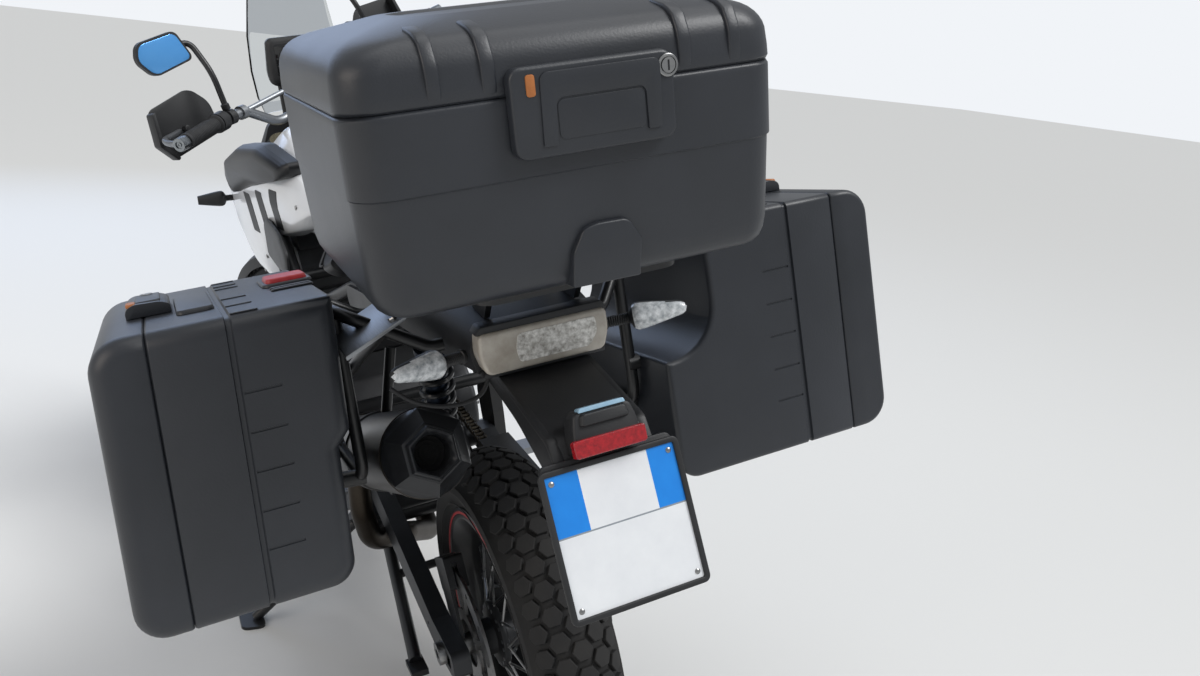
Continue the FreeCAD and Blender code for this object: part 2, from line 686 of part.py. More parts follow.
def exhaust_pipes():
    # Two headers down the front, a collector under the engine and the link pipe to the silencer.
    half = exhaust_port_spacing / 2
    headers = [bent_tube([(s * half, 1069 + seat_gap, 768), (s * half, 1095, 768), (s * half, 1092, 330),
                          (s * half, 1050, 240), (s * 24, 900, 238)], header_radius, 60) for s in (-1, 1)]
    box = prism("yz", [(905, 224), (905, 256), (760, 258), (700, 256), (700, 222)], -58, 34, 10)
    front, rear, d = silencer_axis()
    link = bent_tube([(-10, 710, 240), (-24, 545, 240), (-98, 440, 314), (-178, 380, 350), (-190, 350, 440),
                      front - d * 50, front], link_pipe_radius, 70)
    return fuse(headers + [box, link])


def silencer():
    # A round can with a band, a cone at its inlet and a hanger tab.
    front, rear, d = silencer_axis()
    cone = Part.makeCone(link_pipe_radius + 6, silencer_radius - 4, 70, front + d * seat_gap, d)
    can = rod(front + d * 70, rear, silencer_radius)
    band = rod(front + d * 210, front + d * 236, silencer_radius + 3)
    rim = rod(front + d * 70, front + d * 84, silencer_radius + 2)
    tab = rod(front + d * 223, V(-126, 120, 838), 9)
    return fuse([cone, can, band, rim, tab])


def silencer_cap():
    # A faceted end cap with a hexagonal outlet.
    front, rear, d = silencer_axis()
    across = V(0, 0, 1).cross(d).normalize()
    up = d.cross(across)
    wires = []
    # Columns: distance past the can, corner radius.
    for along, radius in ((seat_gap, silencer_radius + 1), (10, silencer_radius + 1), (34, silencer_radius - 20)):
        angles = [math.radians(60 * i + 30) for i in range(6)]
        wires.append(Part.makePolygon([rear + d * along + across * (radius * math.cos(a)) + up * (radius * math.sin(a))
                                       for a in angles + angles[:1]]))
    cap = loft(wires)
    tube = rod(rear + d * 30, rear + d * 46, 30)
    return fuse([cap, tube]).cut(rod(rear + d * 6, rear + d * 60, 25))


def bash_plate():
    # A folded plate under the engine with turned-up sides and three slots.
    thick, half = 4.0, 128.0
    floor = [(668, 212), (1050, 212), (1118, 262), (1132, 430)]
    inner = [(1132 - thick, 430), (1118 - thick, 264), (1049, 212 + thick), (668, 212 + thick)]
    sheet = prism("yz", floor + inner, -half, half)
    sides = [prism("yz", [(700, 212), (1050, 212), (1118, 262), (1126, 360), (1050, 300), (760, 262), (700, 250)],
                   *sorted((s * half, s * (half + thick)))) for s in (-1, 1)]
    slots = [block(-90, 90, y, y + 14, 200, 230) for y in (740, 800, 860)]
    mounts = [rod((s * 92, 1010, 214), (s * 92, 1010, engine_floor - seat_gap), 9) for s in (-1, 1)]
    mounts += [rod((-84, 720, 214), (-84, 720, engine_floor - seat_gap), 9)]
    return fuse([sheet] + sides + mounts).cut(slots)


# Stands and controls

def footrests():
    # Rider's pegs on the frame plates and passenger's pegs on hangers.
    parts = []
    outer = plate_inner + plate_thickness
    for s in (-1, 1):
        hanger = prism("yz", [(540, 392), (600, 392), (600, 350), (570, 330), (540, 350)],
                       *sorted((s * (outer + seat_gap), s * (outer + 20))), 8)
        peg = prism("xy", [(s * (outer + 12), 545), (s * (outer + 96), 545), (s * (outer + 96), 595),
                           (s * (outer + 12), 595)], 356, 372, 6)
        parts.append(fuse([hanger, peg]))
    # Passenger's pegs; the left one stands further forward, clear of the link pipe.
    for s, back in ((1, 300), (-1, 402)):
        tube = [(s * x, y, z) for x, y, z in subframe_strut(1)[1:3]]
        at = between(tube[0], tube[1], 0.8)
        hanger = prism("yz", [(426, 716), (402 + (back - 300) * 0.2, 690), (back + 30, 560), (back, 560),
                              (back, 584), (384, 724)], *sorted((s * 160, s * 168)), 5)
        peg = rod((s * 158, back + 15, 573), (s * 250, back + 15, 573), 13)
        foot = post(at, (s * 162, at.y, at.z), 9, (tube[0], tube[1], subframe_tube_radius - 1))
        parts.append(fuse([hanger, peg, foot]))
    return group(parts)


def foot_controls():
    # Gear lever on the left, brake pedal on the right.
    outer = plate_inner + plate_thickness
    gear = fuse([bent_tube([(-outer - 26, 622, 352), (-outer - 26, 740, 330), (-outer - 34, 792, 352)], 6, 20),
                 rod((-outer - 30, 792, 352), (-outer - 74, 792, 352), 9),
                 rod((-outer - seat_gap, 622, 352), (-outer - 36, 622, 352), 10)])
    brake = fuse([bent_tube([(outer + 10, 622, 352), (outer + 10, 740, 318), (outer + 16, 800, 336)], 7, 20),
                  block(outer + 6, outer + 62, 786, 812, 334, 348),
                  rod((outer + seat_gap, 622, 352), (outer + 20, 622, 352), 11)])
    return group([gear, brake])


def side_stand_geometry():
    # Pivot, foot and hinge axis on the upright machine. The foot is found where the parked machine
    # leaves the ground under it, and the folded leg points backwards along the machine.
    placed = parked_placement()
    pivot_there = placed.multVec(side_stand_pivot)
    foot = placed.inverse().multVec(V(-side_stand_foot_reach, pivot_there.y + side_stand_foot_ahead, 0))
    down = (foot - side_stand_pivot).normalize()
    folded = V(-0.2, -0.97, -0.12).normalize()
    axis = down.cross(folded).normalize()
    return foot, down, folded, axis


def side_stand():
    # A tube leg with a fork round its pivot and a flat foot that lies on the ground.
    foot, down, folded, axis = side_stand_geometry()
    placed = parked_placement()
    ground = placed.multVec(foot)
    half_long, half_wide, thick = 36.0, 25.0, 7.0
    pad = prism("xy", [(ground.x - half_wide, ground.y - half_long), (ground.x + half_wide, ground.y - half_long),
                       (ground.x + half_wide, ground.y + half_long), (ground.x - half_wide, ground.y + half_long)],
                0, thick, 14)
    pad.Placement = placed.inverse().multiply(pad.Placement)
    tip = foot + (side_stand_pivot - foot).normalize() * 12
    leg = rod(side_stand_pivot, tip, 11)
    boss = rod(side_stand_pivot - axis * 13, side_stand_pivot + axis * 13, 17)
    bore = rod(side_stand_pivot - axis * 20, side_stand_pivot + axis * 20, 6.3)
    tang = rod(foot - down * 80, foot - down * 80 + folded * -46, 5)
    return fuse([leg, pad, boss, tang]).cut(bore)


def side_stand_bracket():
    # Two cheeks and the pin that carry the leg, bolted under the left frame plate.
    foot, down, folded, axis = side_stand_geometry()
    centre = side_stand_pivot
    cheeks = [rod(centre + axis * low, centre + axis * high, 17) for low, high in ((13.4, 19), (-19, -13.4))]
    pin = rod(centre - axis * 22, centre + axis * 22, 6)
    behind = (down + folded).normalize() * -26
    web = rod(centre + behind - axis * 19, centre + behind + axis * 28, 8)
    ribs = [rod(centre + axis * at, centre + behind + axis * at, 2.6) for at in (-16.2, 16.2)]
    return cheeks + [web] + ribs, pin


def centre_stand():
    # Two splayed legs on a cross tube, with rockers at the feet and a pedal on the left.
    pivot_at, half = centre_stand_pivot, plate_inner - 1.5
    droop = math.radians(centre_stand_droop)
    reach = V(0, -math.cos(droop), -math.sin(droop)) * centre_stand_length
    tube = rod((-half, pivot_at.y, pivot_at.z), (half, pivot_at.y, pivot_at.z), 13)
    bore = rod((-half - 5, pivot_at.y, pivot_at.z), (half + 5, pivot_at.y, pivot_at.z), 7.4)
    parts = [tube]
    for s in (-1, 1):
        top = V(s * 128, pivot_at.y, pivot_at.z)
        end = V(s * 169, pivot_at.y + reach.y, pivot_at.z + reach.z)
        parts.append(rod(top, end, 12.4))
        rocker = block(end.x - 16, end.x + 16, end.y - 30, end.y + 18, end.z - 16, end.z - 4)
        parts.append(rocker)
    low = V(-150, pivot_at.y + 0.42 * reach.y, pivot_at.z + 0.42 * reach.z)
    parts.append(rod(low, V(150, low.y, low.z), 9))
    return fuse(parts).cut(bore)


def centre_stand_pin():
    half = plate_inner + plate_thickness - 2
    return rod((-half, centre_stand_pivot.y, centre_stand_pivot.z),
               (half, centre_stand_pivot.y, centre_stand_pivot.z), 7)


# Bodywork

def seat():
    # Rider's saddle and the raised passenger's seat, one foam body each.
    rows = ((760, 862, 878, 898, 70, 92, 70), (690, 846, 866, 892, 96, 124, 96), (560, 846, 872, 896, 120, 158, 120),
            (478, 880, 900, 930, 124, 158, 118))
    rider = loft([body_section(*row, (6, 12, 18)) for row in rows])
    rows = ((472, 880, 925, 962, 124, 150, 112), (400, 892, 940, 988, 124, 146, 112),
            (220, 918, 960, 1004, 124, 140, 104), (50, 946, 975, 1006, 120, 128, 92))
    passenger = loft([body_section(*row, (6, 12, 18)) for row in rows])
    tie = (seat_tie - V(150, 0, 0), seat_tie + V(150, 0, 0), 13)
    rider = fuse([rider] + [post(seat_tie + V(s * 60, 0, 0), seat_tie + V(s * 60, 0, 50), 10, tie)
                            for s in (-1, 1)])
    feet = []
    for s in (-1, 1):
        rail = (*subframe_rail(s)[1:3], subframe_tube_radius)
        for share in (0.12, 0.55):
            at = between(rail[0], rail[1], share)
            feet.append(post(at, at + V(0, 0, 30), 9, rail))
    return group([rider, fuse([passenger] + feet)])


def tank_cover():
    # The tank's shell, from behind the steering head to the saddle's nose.
    rows = ((1110, 988, 1030, 1066, 100, 172, 96), (1060, 972, 1015, 1098, 132, 176, 100),
            (960, 925, 985, 1088, 138, 176, 96), (860, 885, 950, 1020, 130, 160, 84),
            (770, 880, 912, 948, 88, 104, 64))
    shell = loft([body_section(*row, (8, 14, 16)) for row in rows])
    cap = rod((0, 985, 1080), (0, 975, 1112), 44)
    feet = []
    for s in (-1, 1):
        tube = [(s * x, y, z) for x, y, z in frame_upper_run()]
        at = between(tube[1], tube[2], 0.3)
        feet.append(post(at, at + V(0, 0, 46), 10, (tube[1], tube[2], frame_tube_radius)))
    return fuse([shell, cap] + feet)


def side_panel(outline, low, high, chamfer):
    # A body panel given by its side outline, drawn in towards its outer face.
    centre = (sum(a for a, _ in outline) / len(outline), sum(b for _, b in outline) / len(outline))
    inner = [V(low, a, b) for a, b in outline]
    outer = [V(high, centre[0] + (a - centre[0]) * chamfer, centre[1] + (b - centre[1]) * chamfer)
             for a, b in outline]
    return loft([closed_wire(inner, 8), closed_wire(outer, 8)])


def side_fairings():
    # The large painted panels beside the radiator.
    outline = [(1040, 880), (1075, 770), (1150, 700), (1260, 720), (1352, 830), (1420, 960), (1330, 1030),
               (1180, 1010)]
    return group(both_sides(side_panel(outline, fairing_inner, fairing_inner + 22, 0.95)))


def knee_panels():
    # Dark panels between the painted panels and the saddle.
    outline = [(1034, 886), (1060, 796), (900, 800), (760, 820), (720, 872), (800, 905), (980, 905)]
    return group(both_sides(side_panel(outline, fairing_inner, fairing_inner + 10, 0.95)))


def beak():
    # The pointed nose below the headlamp.
    flush = headlamp_floor - seat_gap
    rows = ((1425, 842, 880, flush, 96, 124, 100), (1500, 840, 876, flush, 82, 106, 78),
            (1640, 826, 846, 862, 44, 58, 36), (1724, 812, 822, 832, 14, 20, 12))
    return loft([body_section(*row, (3, 5, 5)) for row in rows])


def headlamp():
    # Lamp housing and lens on the front of the fairing stay.
    floor = headlamp_floor
    rows = ((1392, floor, 1000, 1075, 90, 128, 96), (1440, floor, 990, 1072, 96, 136, 94),
            (1512, floor, 968, 1030, 78, 112, 72))
    housing = loft([body_section(*row, (10, 16, 16)) for row in rows])
    stay = rod(on_steering(1075, head_tube_radius + 4), (0, 1400, 995), 12)
    lugs = [rod((s * 80, 1405, 950), (s * (fairing_inner - seat_gap), 1405, 950), 9) for s in (-1, 1)]
    return fuse([housing, stay] + lugs)


def windscreen():
    # A curved clear sheet that leans back.
    thick = 4.0
    wires = []
    # Columns: height, foremost y, half-width, depth of the curve.
    for z, y, half, depth in ((1085, 1506, 118, 46), (1230, 1466, 148, 62), (1430, 1396, 108, 36)):
        outer = Part.Arc(V(-half, y - depth, z), V(0, y, z), V(half, y - depth, z)).toShape()
        inner = Part.Arc(V(half, y - depth - thick, z), V(0, y - thick, z), V(-half, y - depth - thick, z)).toShape()
        right = Part.LineSegment(V(half, y - depth, z), V(half, y - depth - thick, z)).toShape()
        left = Part.LineSegment(V(-half, y - depth - thick, z), V(-half, y - depth, z)).toShape()
        wires.append(Part.Wire([outer, right, inner, left]))
    return loft(wires)


def instruments():
    # The display on its bracket behind the screen.
    face = prism("xz", [(-74, 1160), (74, 1160), (82, 1190), (72, 1280), (-72, 1280), (-82, 1190)], 1356, 1386, 10)
    back = block(-60, 60, 1384, 1410, 1164, 1200)
    stays = [rod((s * 50, 1402, 1170), (s * 50, 1402, 1075), 8) for s in (-1, 1)]
    brace = [rod((s * 46, 1380, 1240), (s * 46, 1450, 1240), 6) for s in (-1, 1)]
    return fuse([face, back] + stays + brace)


def tail_top(y):
    # Height of the flat top of the tail.
    (y0, z0), (y1, z1) = [(row[0], row[3]) for row in tail_rows]
    return z0 + (y - y0) * (z1 - z0) / (y1 - y0)


def tail_cover():
    # A hollow tail behind the saddle and a skirt on each side under it.
    outer = loft([body_section(*row, (4, 10, 12)) for row in tail_rows])
    tunnel = loft([body_section(y, low - 40, shoulder, top - 9, half_low - 7, half_wide - 8, half_top - 6, (2, 8, 8))
                   for y, low, shoulder, top, half_low, half_wide, half_top in
                   ((60, 898, 936, 990, 138, 146, 112), (-225, 905, 945, 979, 100, 108, 84))])
    skirt = prism("yz", [(30, 934), (46, 934), (380, 883), (392, 858), (380, 842), (200, 862), (30, 900)],
                  skirt_inner, skirt_inner + 6, [0, 0, 8, 4, 8, 0, 0])
    posts = []
    for s in (-1, 1):
        rail = (*subframe_rail(s)[2:4], subframe_tube_radius)
        at = between(rail[0], rail[1], 0.5) - V(s * 6, 0, 0)
        posts.append(post(at, at + V(0, 0, 40), 6, rail))
    return fuse([outer.cut(tunnel)] + both_sides(skirt) + posts)


def plate_frame():
    # The plate's upper and lower middle and the direction down its face.
    top, bottom = V(0, -447, 849), V(0, -516, 677)
    down = (bottom - top).normalize()
    outward = V(0, down.z, -down.y)
    return top, bottom, down, outward


def slab_on_plate(half_width, start, end, near, far):
    # A slab square to the plate, between two distances down it and two behind it.
    top, bottom, down, outward = plate_frame()
    points = [top + down * a + outward * b for a, b in ((start, near), (end, near), (end, far), (start, far))]
    return prism("yz", [(q.y, q.z) for q in points], -half_width, half_width)


def rear_mudguard():
    # A tray from the tail out to the plate, with a lamp hood above it and a board behind it.
    tray = prism("yz", [(-150, 901), (-150, 880), (-300, 850), (-420, 800), (-484, 690), (-504, 694),
                        (-443, 846), (-425, 876), (-262, 904.6)], -62, 62, [0, 8, 20, 20, 0, 0, 0, 10, 0])
    board = slab_on_plate(88, -6, 182, -8, -seat_gap)
    hood = slab_on_plate(46, -34, -8, -10, 26)
    return fuse([tray, board, hood])


def number_plate():
    # A plain plate in a thin frame.
    top, bottom, down, outward = plate_frame()
    length = (bottom - top).Length
    rim = slab_on_plate(93, 0, length, 0, 7)
    inside = slab_on_plate(88.5, 5, length - 5, 4, 9)
    return rim.cut(inside)


def tail_lamp():
    # A wedge-shaped lens across the end of the tail.
    outline = [(-84, 912), (84, 912), (92, 940), (90, 970), (-90, 970), (-92, 940)]
    lens = prism("xz", outline, -279, -250 - seat_gap, 8)
    back = [e for e in lens.Edges if abs(e.BoundBox.YMin + 279) < 1e-3 and abs(e.BoundBox.YMax + 279) < 1e-3]
    return lens.makeFillet(6, back)


def indicator(root, tip):
    # A flexible stalk and a pointed lamp.
    root, tip = V(*root), V(*tip)
    d = (tip - root).normalize()
    stalk = rod(root, root + d * 44, 8)
    foot = rod(root, root + d * 6, 10)
    lamp = Part.makeCone(20, 9, (tip - root).Length - 40, root + d * 40, d)
    return fuse([foot, stalk, lamp])


def indicators():
    lamps = []
    for s in (-1, 1):
        lamps.append(indicator((s * 102.2, -236, 932), (s * 209, -285, 947)))
        lamps.append(indicator((s * 213.4, 1300, 905), (s * 318, 1304, 912)))
    return group(lamps)


# Racks and cases

def luggage_rack():
    # A slotted plate on four legs from the subframe, and grab handles at its sides.
    top = top_case_bottom - seat_gap
    plate = prism("xy", [(-128, -430), (128, -430), (112, -90), (-112, -90)], top - 10, top, 24)
    slots = [prism("xy", [(s * 30, y), (s * 84, y), (s * 84, y + 34), (s * 30, y + 34)], top - 12, top + 2, 8)
             for s in (-1, 1) for y in (-380, -310, -240)]
    legs = []
    for s in (-1, 1):
        for near, far, lean in ((-30, -80, -60), (-190, -240, -60)):
            foot = [(near, tail_top(near) + seat_gap), (far, tail_top(far) + seat_gap)]
            legs.append(prism("yz", foot + [(far + lean, top - 8), (near + lean, top - 8)],
                              *sorted((s * 60, s * 68))))
        legs.append(bent_tube([(s * 100, -104, top - 7), (s * 168, -60, top - 30), (s * 186, -120, top - 52),
                               (s * 176, -230, top - 40), (s * 100, -250, top - 7)], 7, 40))
    return fuse([plate.cut(slots)] + legs)


def pannier_racks():
    # A tube hoop on each side, tied to the subframe, with four pads that carry the case.
    hoops = []
    for s in (-1, 1):
        outward = math.radians(pannier_splay[s])
        reach = 236.0 if s < 0 else 184.0
        top = [(s * (skirt_inner + 6 + seat_gap), 150, 894), (s * 160, 150, 894),
               drooped(V(s * reach, 140, 1000)), drooped(V(s * (reach + 2), -150, 1006)),
               (s * 130, -172, 932), (s * 111, -172, 932)]
        hoops.append(bent_tube(top, 9, 40))
        low = [(reach + 2, 120, 1000), (reach + 6, 100, 760), (reach + 6, -120, 760), (reach + 2, -130, 1003)]
        hoops.append(bent_tube([drooped(V(s * x, y, z)) for x, y, z in low], 9, 40))
        pads = ((70, 760, 0), (-90, 760, 0), (100, 1002, 1), (-110, 1004, 1)) if s < 0 else \
            ((70, 760, 0), (-90, 760, 0), (104, 830, 0), (-124, 830, 0))
        for y, z, upper in pads:
            x = flared(s, pannier_inner_walls(s)[upper], z)[0]
            wall, d = V(s * x, y, z), V(s * math.cos(outward), 0, math.sin(outward))
            hoops.append(rod(drooped(wall - d * (x - reach)), drooped(wall - d * seat_gap), 12))
    return fuse(hoops)


def pannier_middle():
    return (pannier_bottom + pannier_top) / 2


def flared(side, x, z):
    # The cases' walls lean outwards towards the ground.
    lean = math.tan(math.radians(pannier_splay[side]))
    return (x + pannier_out[side] + (pannier_middle() - z) * lean, z)


def droop():
    # The cases hang with their front ends low, turned about the middle of their rear faces.
    centre = V(0, pannier_rear, pannier_middle())
    return FreeCAD.Placement(V(), FreeCAD.Rotation(V(1, 0, 0), -pannier_droop), centre)


def drooped(point):
    return droop().multVec(point)


def hung(shape, side):
    shape = shape if side > 0 else mirrored(shape)
    turned = shape.copy()
    turned.Placement = droop().multiply(shape.Placement)
    return turned


def pannier_inner_walls(side):
    # How far from the middle each case's lower and upper inner walls stand: the left one clears the silencer.
    return (276.0, 259.0) if side < 0 else (168.0, 255.0)


def pannier_profile(side):
    # Outline of a pannier seen from behind, anticlockwise from its lower inner corner.
    lower, upper = pannier_inner_walls(side)
    rise = 20.0 if side < 0 else 0.0
    points = [(lower, pannier_bottom), (pannier_outer, pannier_bottom), (pannier_outer, pannier_top),
              (upper, pannier_top), (upper, pannier_step + rise), (lower, pannier_step)]
    radii = [30.0, pannier_round, pannier_round, 20.0] + ([10.0, 6.0] if side < 0 else [78.0, 7.0])
    return [flared(side, x, z) for x, z in points], radii


def pannier_shell(side):
    # The whole case as one hollow box, before it is split into body and lid.
    outline, radii = pannier_profile(side)
    front = pannier_rear + pannier_length
    skin = prism("xz", outline, pannier_rear, front, radii)
    room, rounds = inset_outline(outline, radii, case_wall)
    hollow = prism("xz", room, pannier_rear + case_wall, front - case_wall, rounds)
    return skin, hollow


def pannier_cut(side, inner_side, gap):
    # Everything beyond the seam, on the body's side or the lid's.
    far = 900.0
    x = pannier_seam + (-gap if inner_side else gap)
    edge = [flared(side, x, 300), flared(side, x, 1300)]
    outline = [edge[0], edge[1], (far if inner_side else -far, 1300), (far if inner_side else -far, 300)]
    return prism("xz", outline, -600, 600)


def pannier_hinge_line(side):
    x, z = flared(side, pannier_seam, pannier_bottom)
    return x, z - lid_hinge_radius + 1.5


def pannier_knuckles(side, for_lid):
    # Two hinges under the seam, each with a lid knuckle between two body knuckles on one pin.
    x, z = pannier_hinge_line(side)
    pieces = []
    for y in (pannier_rear + 70, pannier_rear + pannier_length - 130):
        spans = ((20.5, 39.5),) if for_lid else ((0, 20), (40, 60))
        for low, high in spans:
            barrel = rod((x, y + low, z), (x, y + high, z), lid_hinge_radius)
            web = block(x, x + 13, y + low, y + high, z - 1, z + 10) if for_lid else \
                block(x - 13, x, y + low, y + high, z - 1, z + 10)
            pieces.append(fuse([barrel, web]))
        if not for_lid:
            pieces.append(rod((x, y, z), (x, y + 60, z), lid_pin_radius))
    return pieces


def pannier_body(side):
    skin, hollow = pannier_shell(side)
    room = pannier_cut(side, True, seam_gap / 2)
    body = skin.cut([hollow, room])
    x, z = pannier_hinge_line(side)
    gap = [rod((x, y + 20, z), (x, y + 40, z), lid_hinge_radius + running_gap)
           for y in (pannier_rear + 70, pannier_rear + pannier_length - 130)]
    web_gap = [block(x - 2, x + 20, y + 20, y + 40, z - 3, z + 12)
               for y in (pannier_rear + 70, pannier_rear + pannier_length - 130)]
    return hung(fuse([body.cut(web_gap + gap)] + pannier_knuckles(side, False)), side)


def pannier_lid(side):
    skin, hollow = pannier_shell(side)
    lid = skin.cut([hollow, pannier_cut(side, False, seam_gap / 2)])
    x, z = pannier_hinge_line(side)
    starts = (pannier_rear + 70, pannier_rear + pannier_length - 130)
    clear = [block(x - 20, x + 20, y + low, y + high, z - 12, z + 10.5)
             for y in starts for low, high in ((-0.5, 20.5), (39.5, 60.5))]
    seam_x, top = flared(side, pannier_seam, pannier_top)
    middle = pannier_rear + pannier_length / 2
    latch = prism("xz", [(seam_x - 36, top + 0.7), (seam_x + 16, top + 0.7), (seam_x + 16, top - 2),
                         (seam_x + 22, top - 2), (seam_x + 22, top + 14), (seam_x + 10, top + 22),
                         (seam_x - 36, top + 18)], middle - 62, middle + 62)
    lid = fuse([lid.cut(clear), latch] + pannier_knuckles(side, True))
    bore = [rod((x, y + 20, z), (x, y + 40, z), lid_pin_radius + running_gap / 2) for y in starts]
    return hung(lid.cut(bore), side)


def top_case_middle():
    return top_case_rear + top_case_length / 2


def top_case_body():
    # A tub that narrows towards its floor.
    y = top_case_middle()
    # Columns: height, drawn in at the sides, drawn in at the ends, corner radius. The walls break inwards
    # at a crease under the seam.
    rows = ((top_case_bottom, 30, 26, top_case_round - 18), (top_case_bottom + 9, 14, 12, top_case_round - 8),
            (top_case_bottom + 34, 6, 6, top_case_round), (top_case_seam - 84, 1, 1, top_case_round),
            (top_case_seam - seam_gap / 2, 0, 0, top_case_round))

    def tub(shrink, rises):
        return loft([rounded_rectangle(y, top_case_half_width - dx - shrink, top_case_length / 2 - dy - shrink,
                                       z + rise, radius - shrink)
                     for (z, dx, dy, radius), rise in zip(rows, rises)])
    hollow = tub(case_wall, (case_wall, case_wall, 0, 0, 1.0))
    tray = tub(0, (0,) * len(rows)).cut(hollow)
    mouth = loft([rounded_rectangle(y, top_case_half_width - case_wall, top_case_length / 2 - case_wall,
                                    z, top_case_round - case_wall) for z in (top_case_seam - 6, top_case_seam + 6)])
    knuckles = top_case_knuckles(False)
    return fuse([tray.cut(mouth)] + knuckles)


def top_case_hinge_line():
    return top_case_rear + top_case_length + lid_hinge_radius + 1.0, top_case_seam


def top_case_knuckles(for_lid):
    y, z = top_case_hinge_line()
    pieces = []
    for x in (-150.0, 90.0):
        spans = ((20.5, 39.5),) if for_lid else ((0, 20), (40, 60))
        for low, high in spans:
            barrel = rod((x + low, y, z), (x + high, y, z), lid_hinge_radius)
            web = block(x + low, x + high, y - 9, y, z + 1, z + 14) if for_lid else \
                block(x + low, x + high, y - 9, y, z - 14, z - 1)
            pieces.append(fuse([barrel, web]))
        if not for_lid:
            pieces.append(rod((x, y, z), (x + 60, y, z), lid_pin_radius))
    return pieces


def top_case_lid():
    # A domed lid with a latch panel that hangs over the seam behind.
    y = top_case_middle()
    low = top_case_seam + seam_gap / 2
    rise = top_case_top - low
    # Columns: share of the dome's height, drawn in at the sides, drawn in at the ends, corner radius.
    rows = ((0.0, 0, 0, 42), (0.42, 2, 2, 42), (0.66, 10, 10, 44), (0.8, 28, 26, 48), (1.0, 100, 96, 60))

    def dome(shrink):
        return loft([rounded_rectangle(y, top_case_half_width - dx - shrink, top_case_length / 2 - dy - shrink,
                                       low + share * (rise - shrink) - (shrink if share == 0 else 0),
                                       radius - shrink * 0.5) for share, dx, dy, radius in rows])
    lid = dome(0).cut(dome(case_wall))
    left, right = latch_middle - latch_half_width, latch_middle + latch_half_width
    latch = prism("xz", [(left, top_case_seam - 65), (right, top_case_seam - 65), (right, top_case_seam + 29),
                         (left, top_case_seam + 29)], top_case_rear - 17, top_case_rear - 0.8, 14)
    root = block(left + 15, right - 15, top_case_rear - 1, top_case_rear + 2.5, top_case_seam + 4,
                 top_case_seam + 24)
    hy, hz = top_case_hinge_line()
    lid = fuse([lid, latch, root] + top_case_knuckles(True))
    bore = [rod((x + 20, hy, hz), (x + 40, hy, hz), lid_pin_radius + running_gap / 2) for x in (-150.0, 90.0)]
    return lid.cut(bore)


# Steering, drawn straight ahead

def triple_clamps():
    # Two clamps on one stem, with the fork's bores and the risers of the handlebar.
    parts = [rod(on_steering(lower_clamp_at - 14, 0), on_steering(upper_clamp_at + 16, 0), stem_radius)]
    for at in (lower_clamp_at, upper_clamp_at):
        low = -18 if at == lower_clamp_at else -10
        outline = [(-fork_half_spacing - 30, fork_ahead - 12), (-40, -32), (40, -32),
                   (fork_half_spacing + 30, fork_ahead - 12), (fork_half_spacing + 30, fork_ahead + 22),
                   (40, fork_ahead + 26), (-40, fork_ahead + 26), (-fork_half_spacing - 30, fork_ahead + 22)]
        points = [on_steering(at + low, ahead, side) for side, ahead in outline]
        parts.append(Part.Face(closed_wire(points, [14, 20, 20, 14, 14, 20, 20, 14])).extrude(steer_up * -2 * low))
        for s in (-1, 1):
            side = s * fork_half_spacing
            parts.append(rod(on_steering(at + low, fork_ahead, side), on_steering(at - low, fork_ahead, side),
                             fork_tube_radius + 9))
    for s in (-1, 1):
        riser = rod(on_steering(upper_clamp_at, fork_ahead, s * 46), on_steering(handlebar_at, fork_ahead, s * 46), 16)
        yoke = rod(on_steering(handlebar_at, fork_ahead, s * 27), on_steering(handlebar_at, fork_ahead, s * 65), 21)
        parts += [riser, yoke]
    parts.append(rod(on_steering(upper_clamp_at, 0), on_steering(upper_clamp_at + 22, 0), 22))
    clamps = fuse(parts)
    bores = [rod(on_steering(lower_clamp_at - 60, fork_ahead, s * fork_half_spacing),
                 on_steering(upper_clamp_at + 60, fork_ahead, s * fork_half_spacing), fork_tube_radius + seat_gap)
             for s in (-1, 1)]
    bar = rod(on_steering(handlebar_at, fork_ahead, -80), on_steering(handlebar_at, fork_ahead, 80),
              handlebar_radius + seat_gap)
    return clamps.cut(bores + [bar])


def fork_legs():
    # Fixed tubes above, sliders below, and the feet that clamp the axle.
    legs = []
    for s in (-1, 1):
        side = s * fork_half_spacing
        tube = rod(on_steering(front_axle_at + 330, fork_ahead, side),
                   on_steering(upper_clamp_at + 24, fork_ahead, side), fork_tube_radius)
        slider = rod(on_steering(front_axle_at + 44, fork_ahead, side),
                     on_steering(front_axle_at + 340, fork_ahead, side), fork_slider_radius)
        foot = [(-34, fork_ahead - 24), (-34, fork_offset + 24), (60, fork_ahead + 24), (60, fork_ahead - 24)]
        points = [on_steering(front_axle_at + along, ahead, side - 20) for along, ahead in foot]
        clamp = Part.Face(closed_wire(points, [14, 20, 10, 10])).extrude(V(40, 0, 0))
        leg = fuse([tube, slider, clamp])
        bore = rod(front_axle + V(side - 60, 0, 0), front_axle + V(side + 60, 0, 0), axle_radius + seat_gap)
        legs.append(leg.cut(bore))
    return group(legs)


def front_axle_parts():
    # A hollow spindle through both fork feet, with a spacer each side of the hub.
    half = fork_half_spacing + 22
    y, z = front_axle.y, front_axle.z
    shaft = rod((-half, y, z), (half + 8, y, z), axle_radius)
    head = rod((half + seat_gap, y, z), (half + 8, y, z), 19)
    spacers = [rod((s * (front_hub_end() + running_gap), y, z), (s * (fork_half_spacing - 20 - seat_gap), y, z), 18)
               for s in (-1, 1)]
    bore = rod((-half - 5, y, z), (half + 20, y, z), axle_bore)
    return fuse([shaft, head] + spacers).cut(bore)


def front_calipers():
    # A radial caliper on each disc, behind the leg.
    parts = []
    half = fork_half_spacing - fork_slider_radius - seat_gap - front_disc_offset
    for s in (-1, 1):
        parts.append(caliper(front_axle, s * front_disc_offset, 122.0, front_disc_radius, 96, half))
    return group(parts)


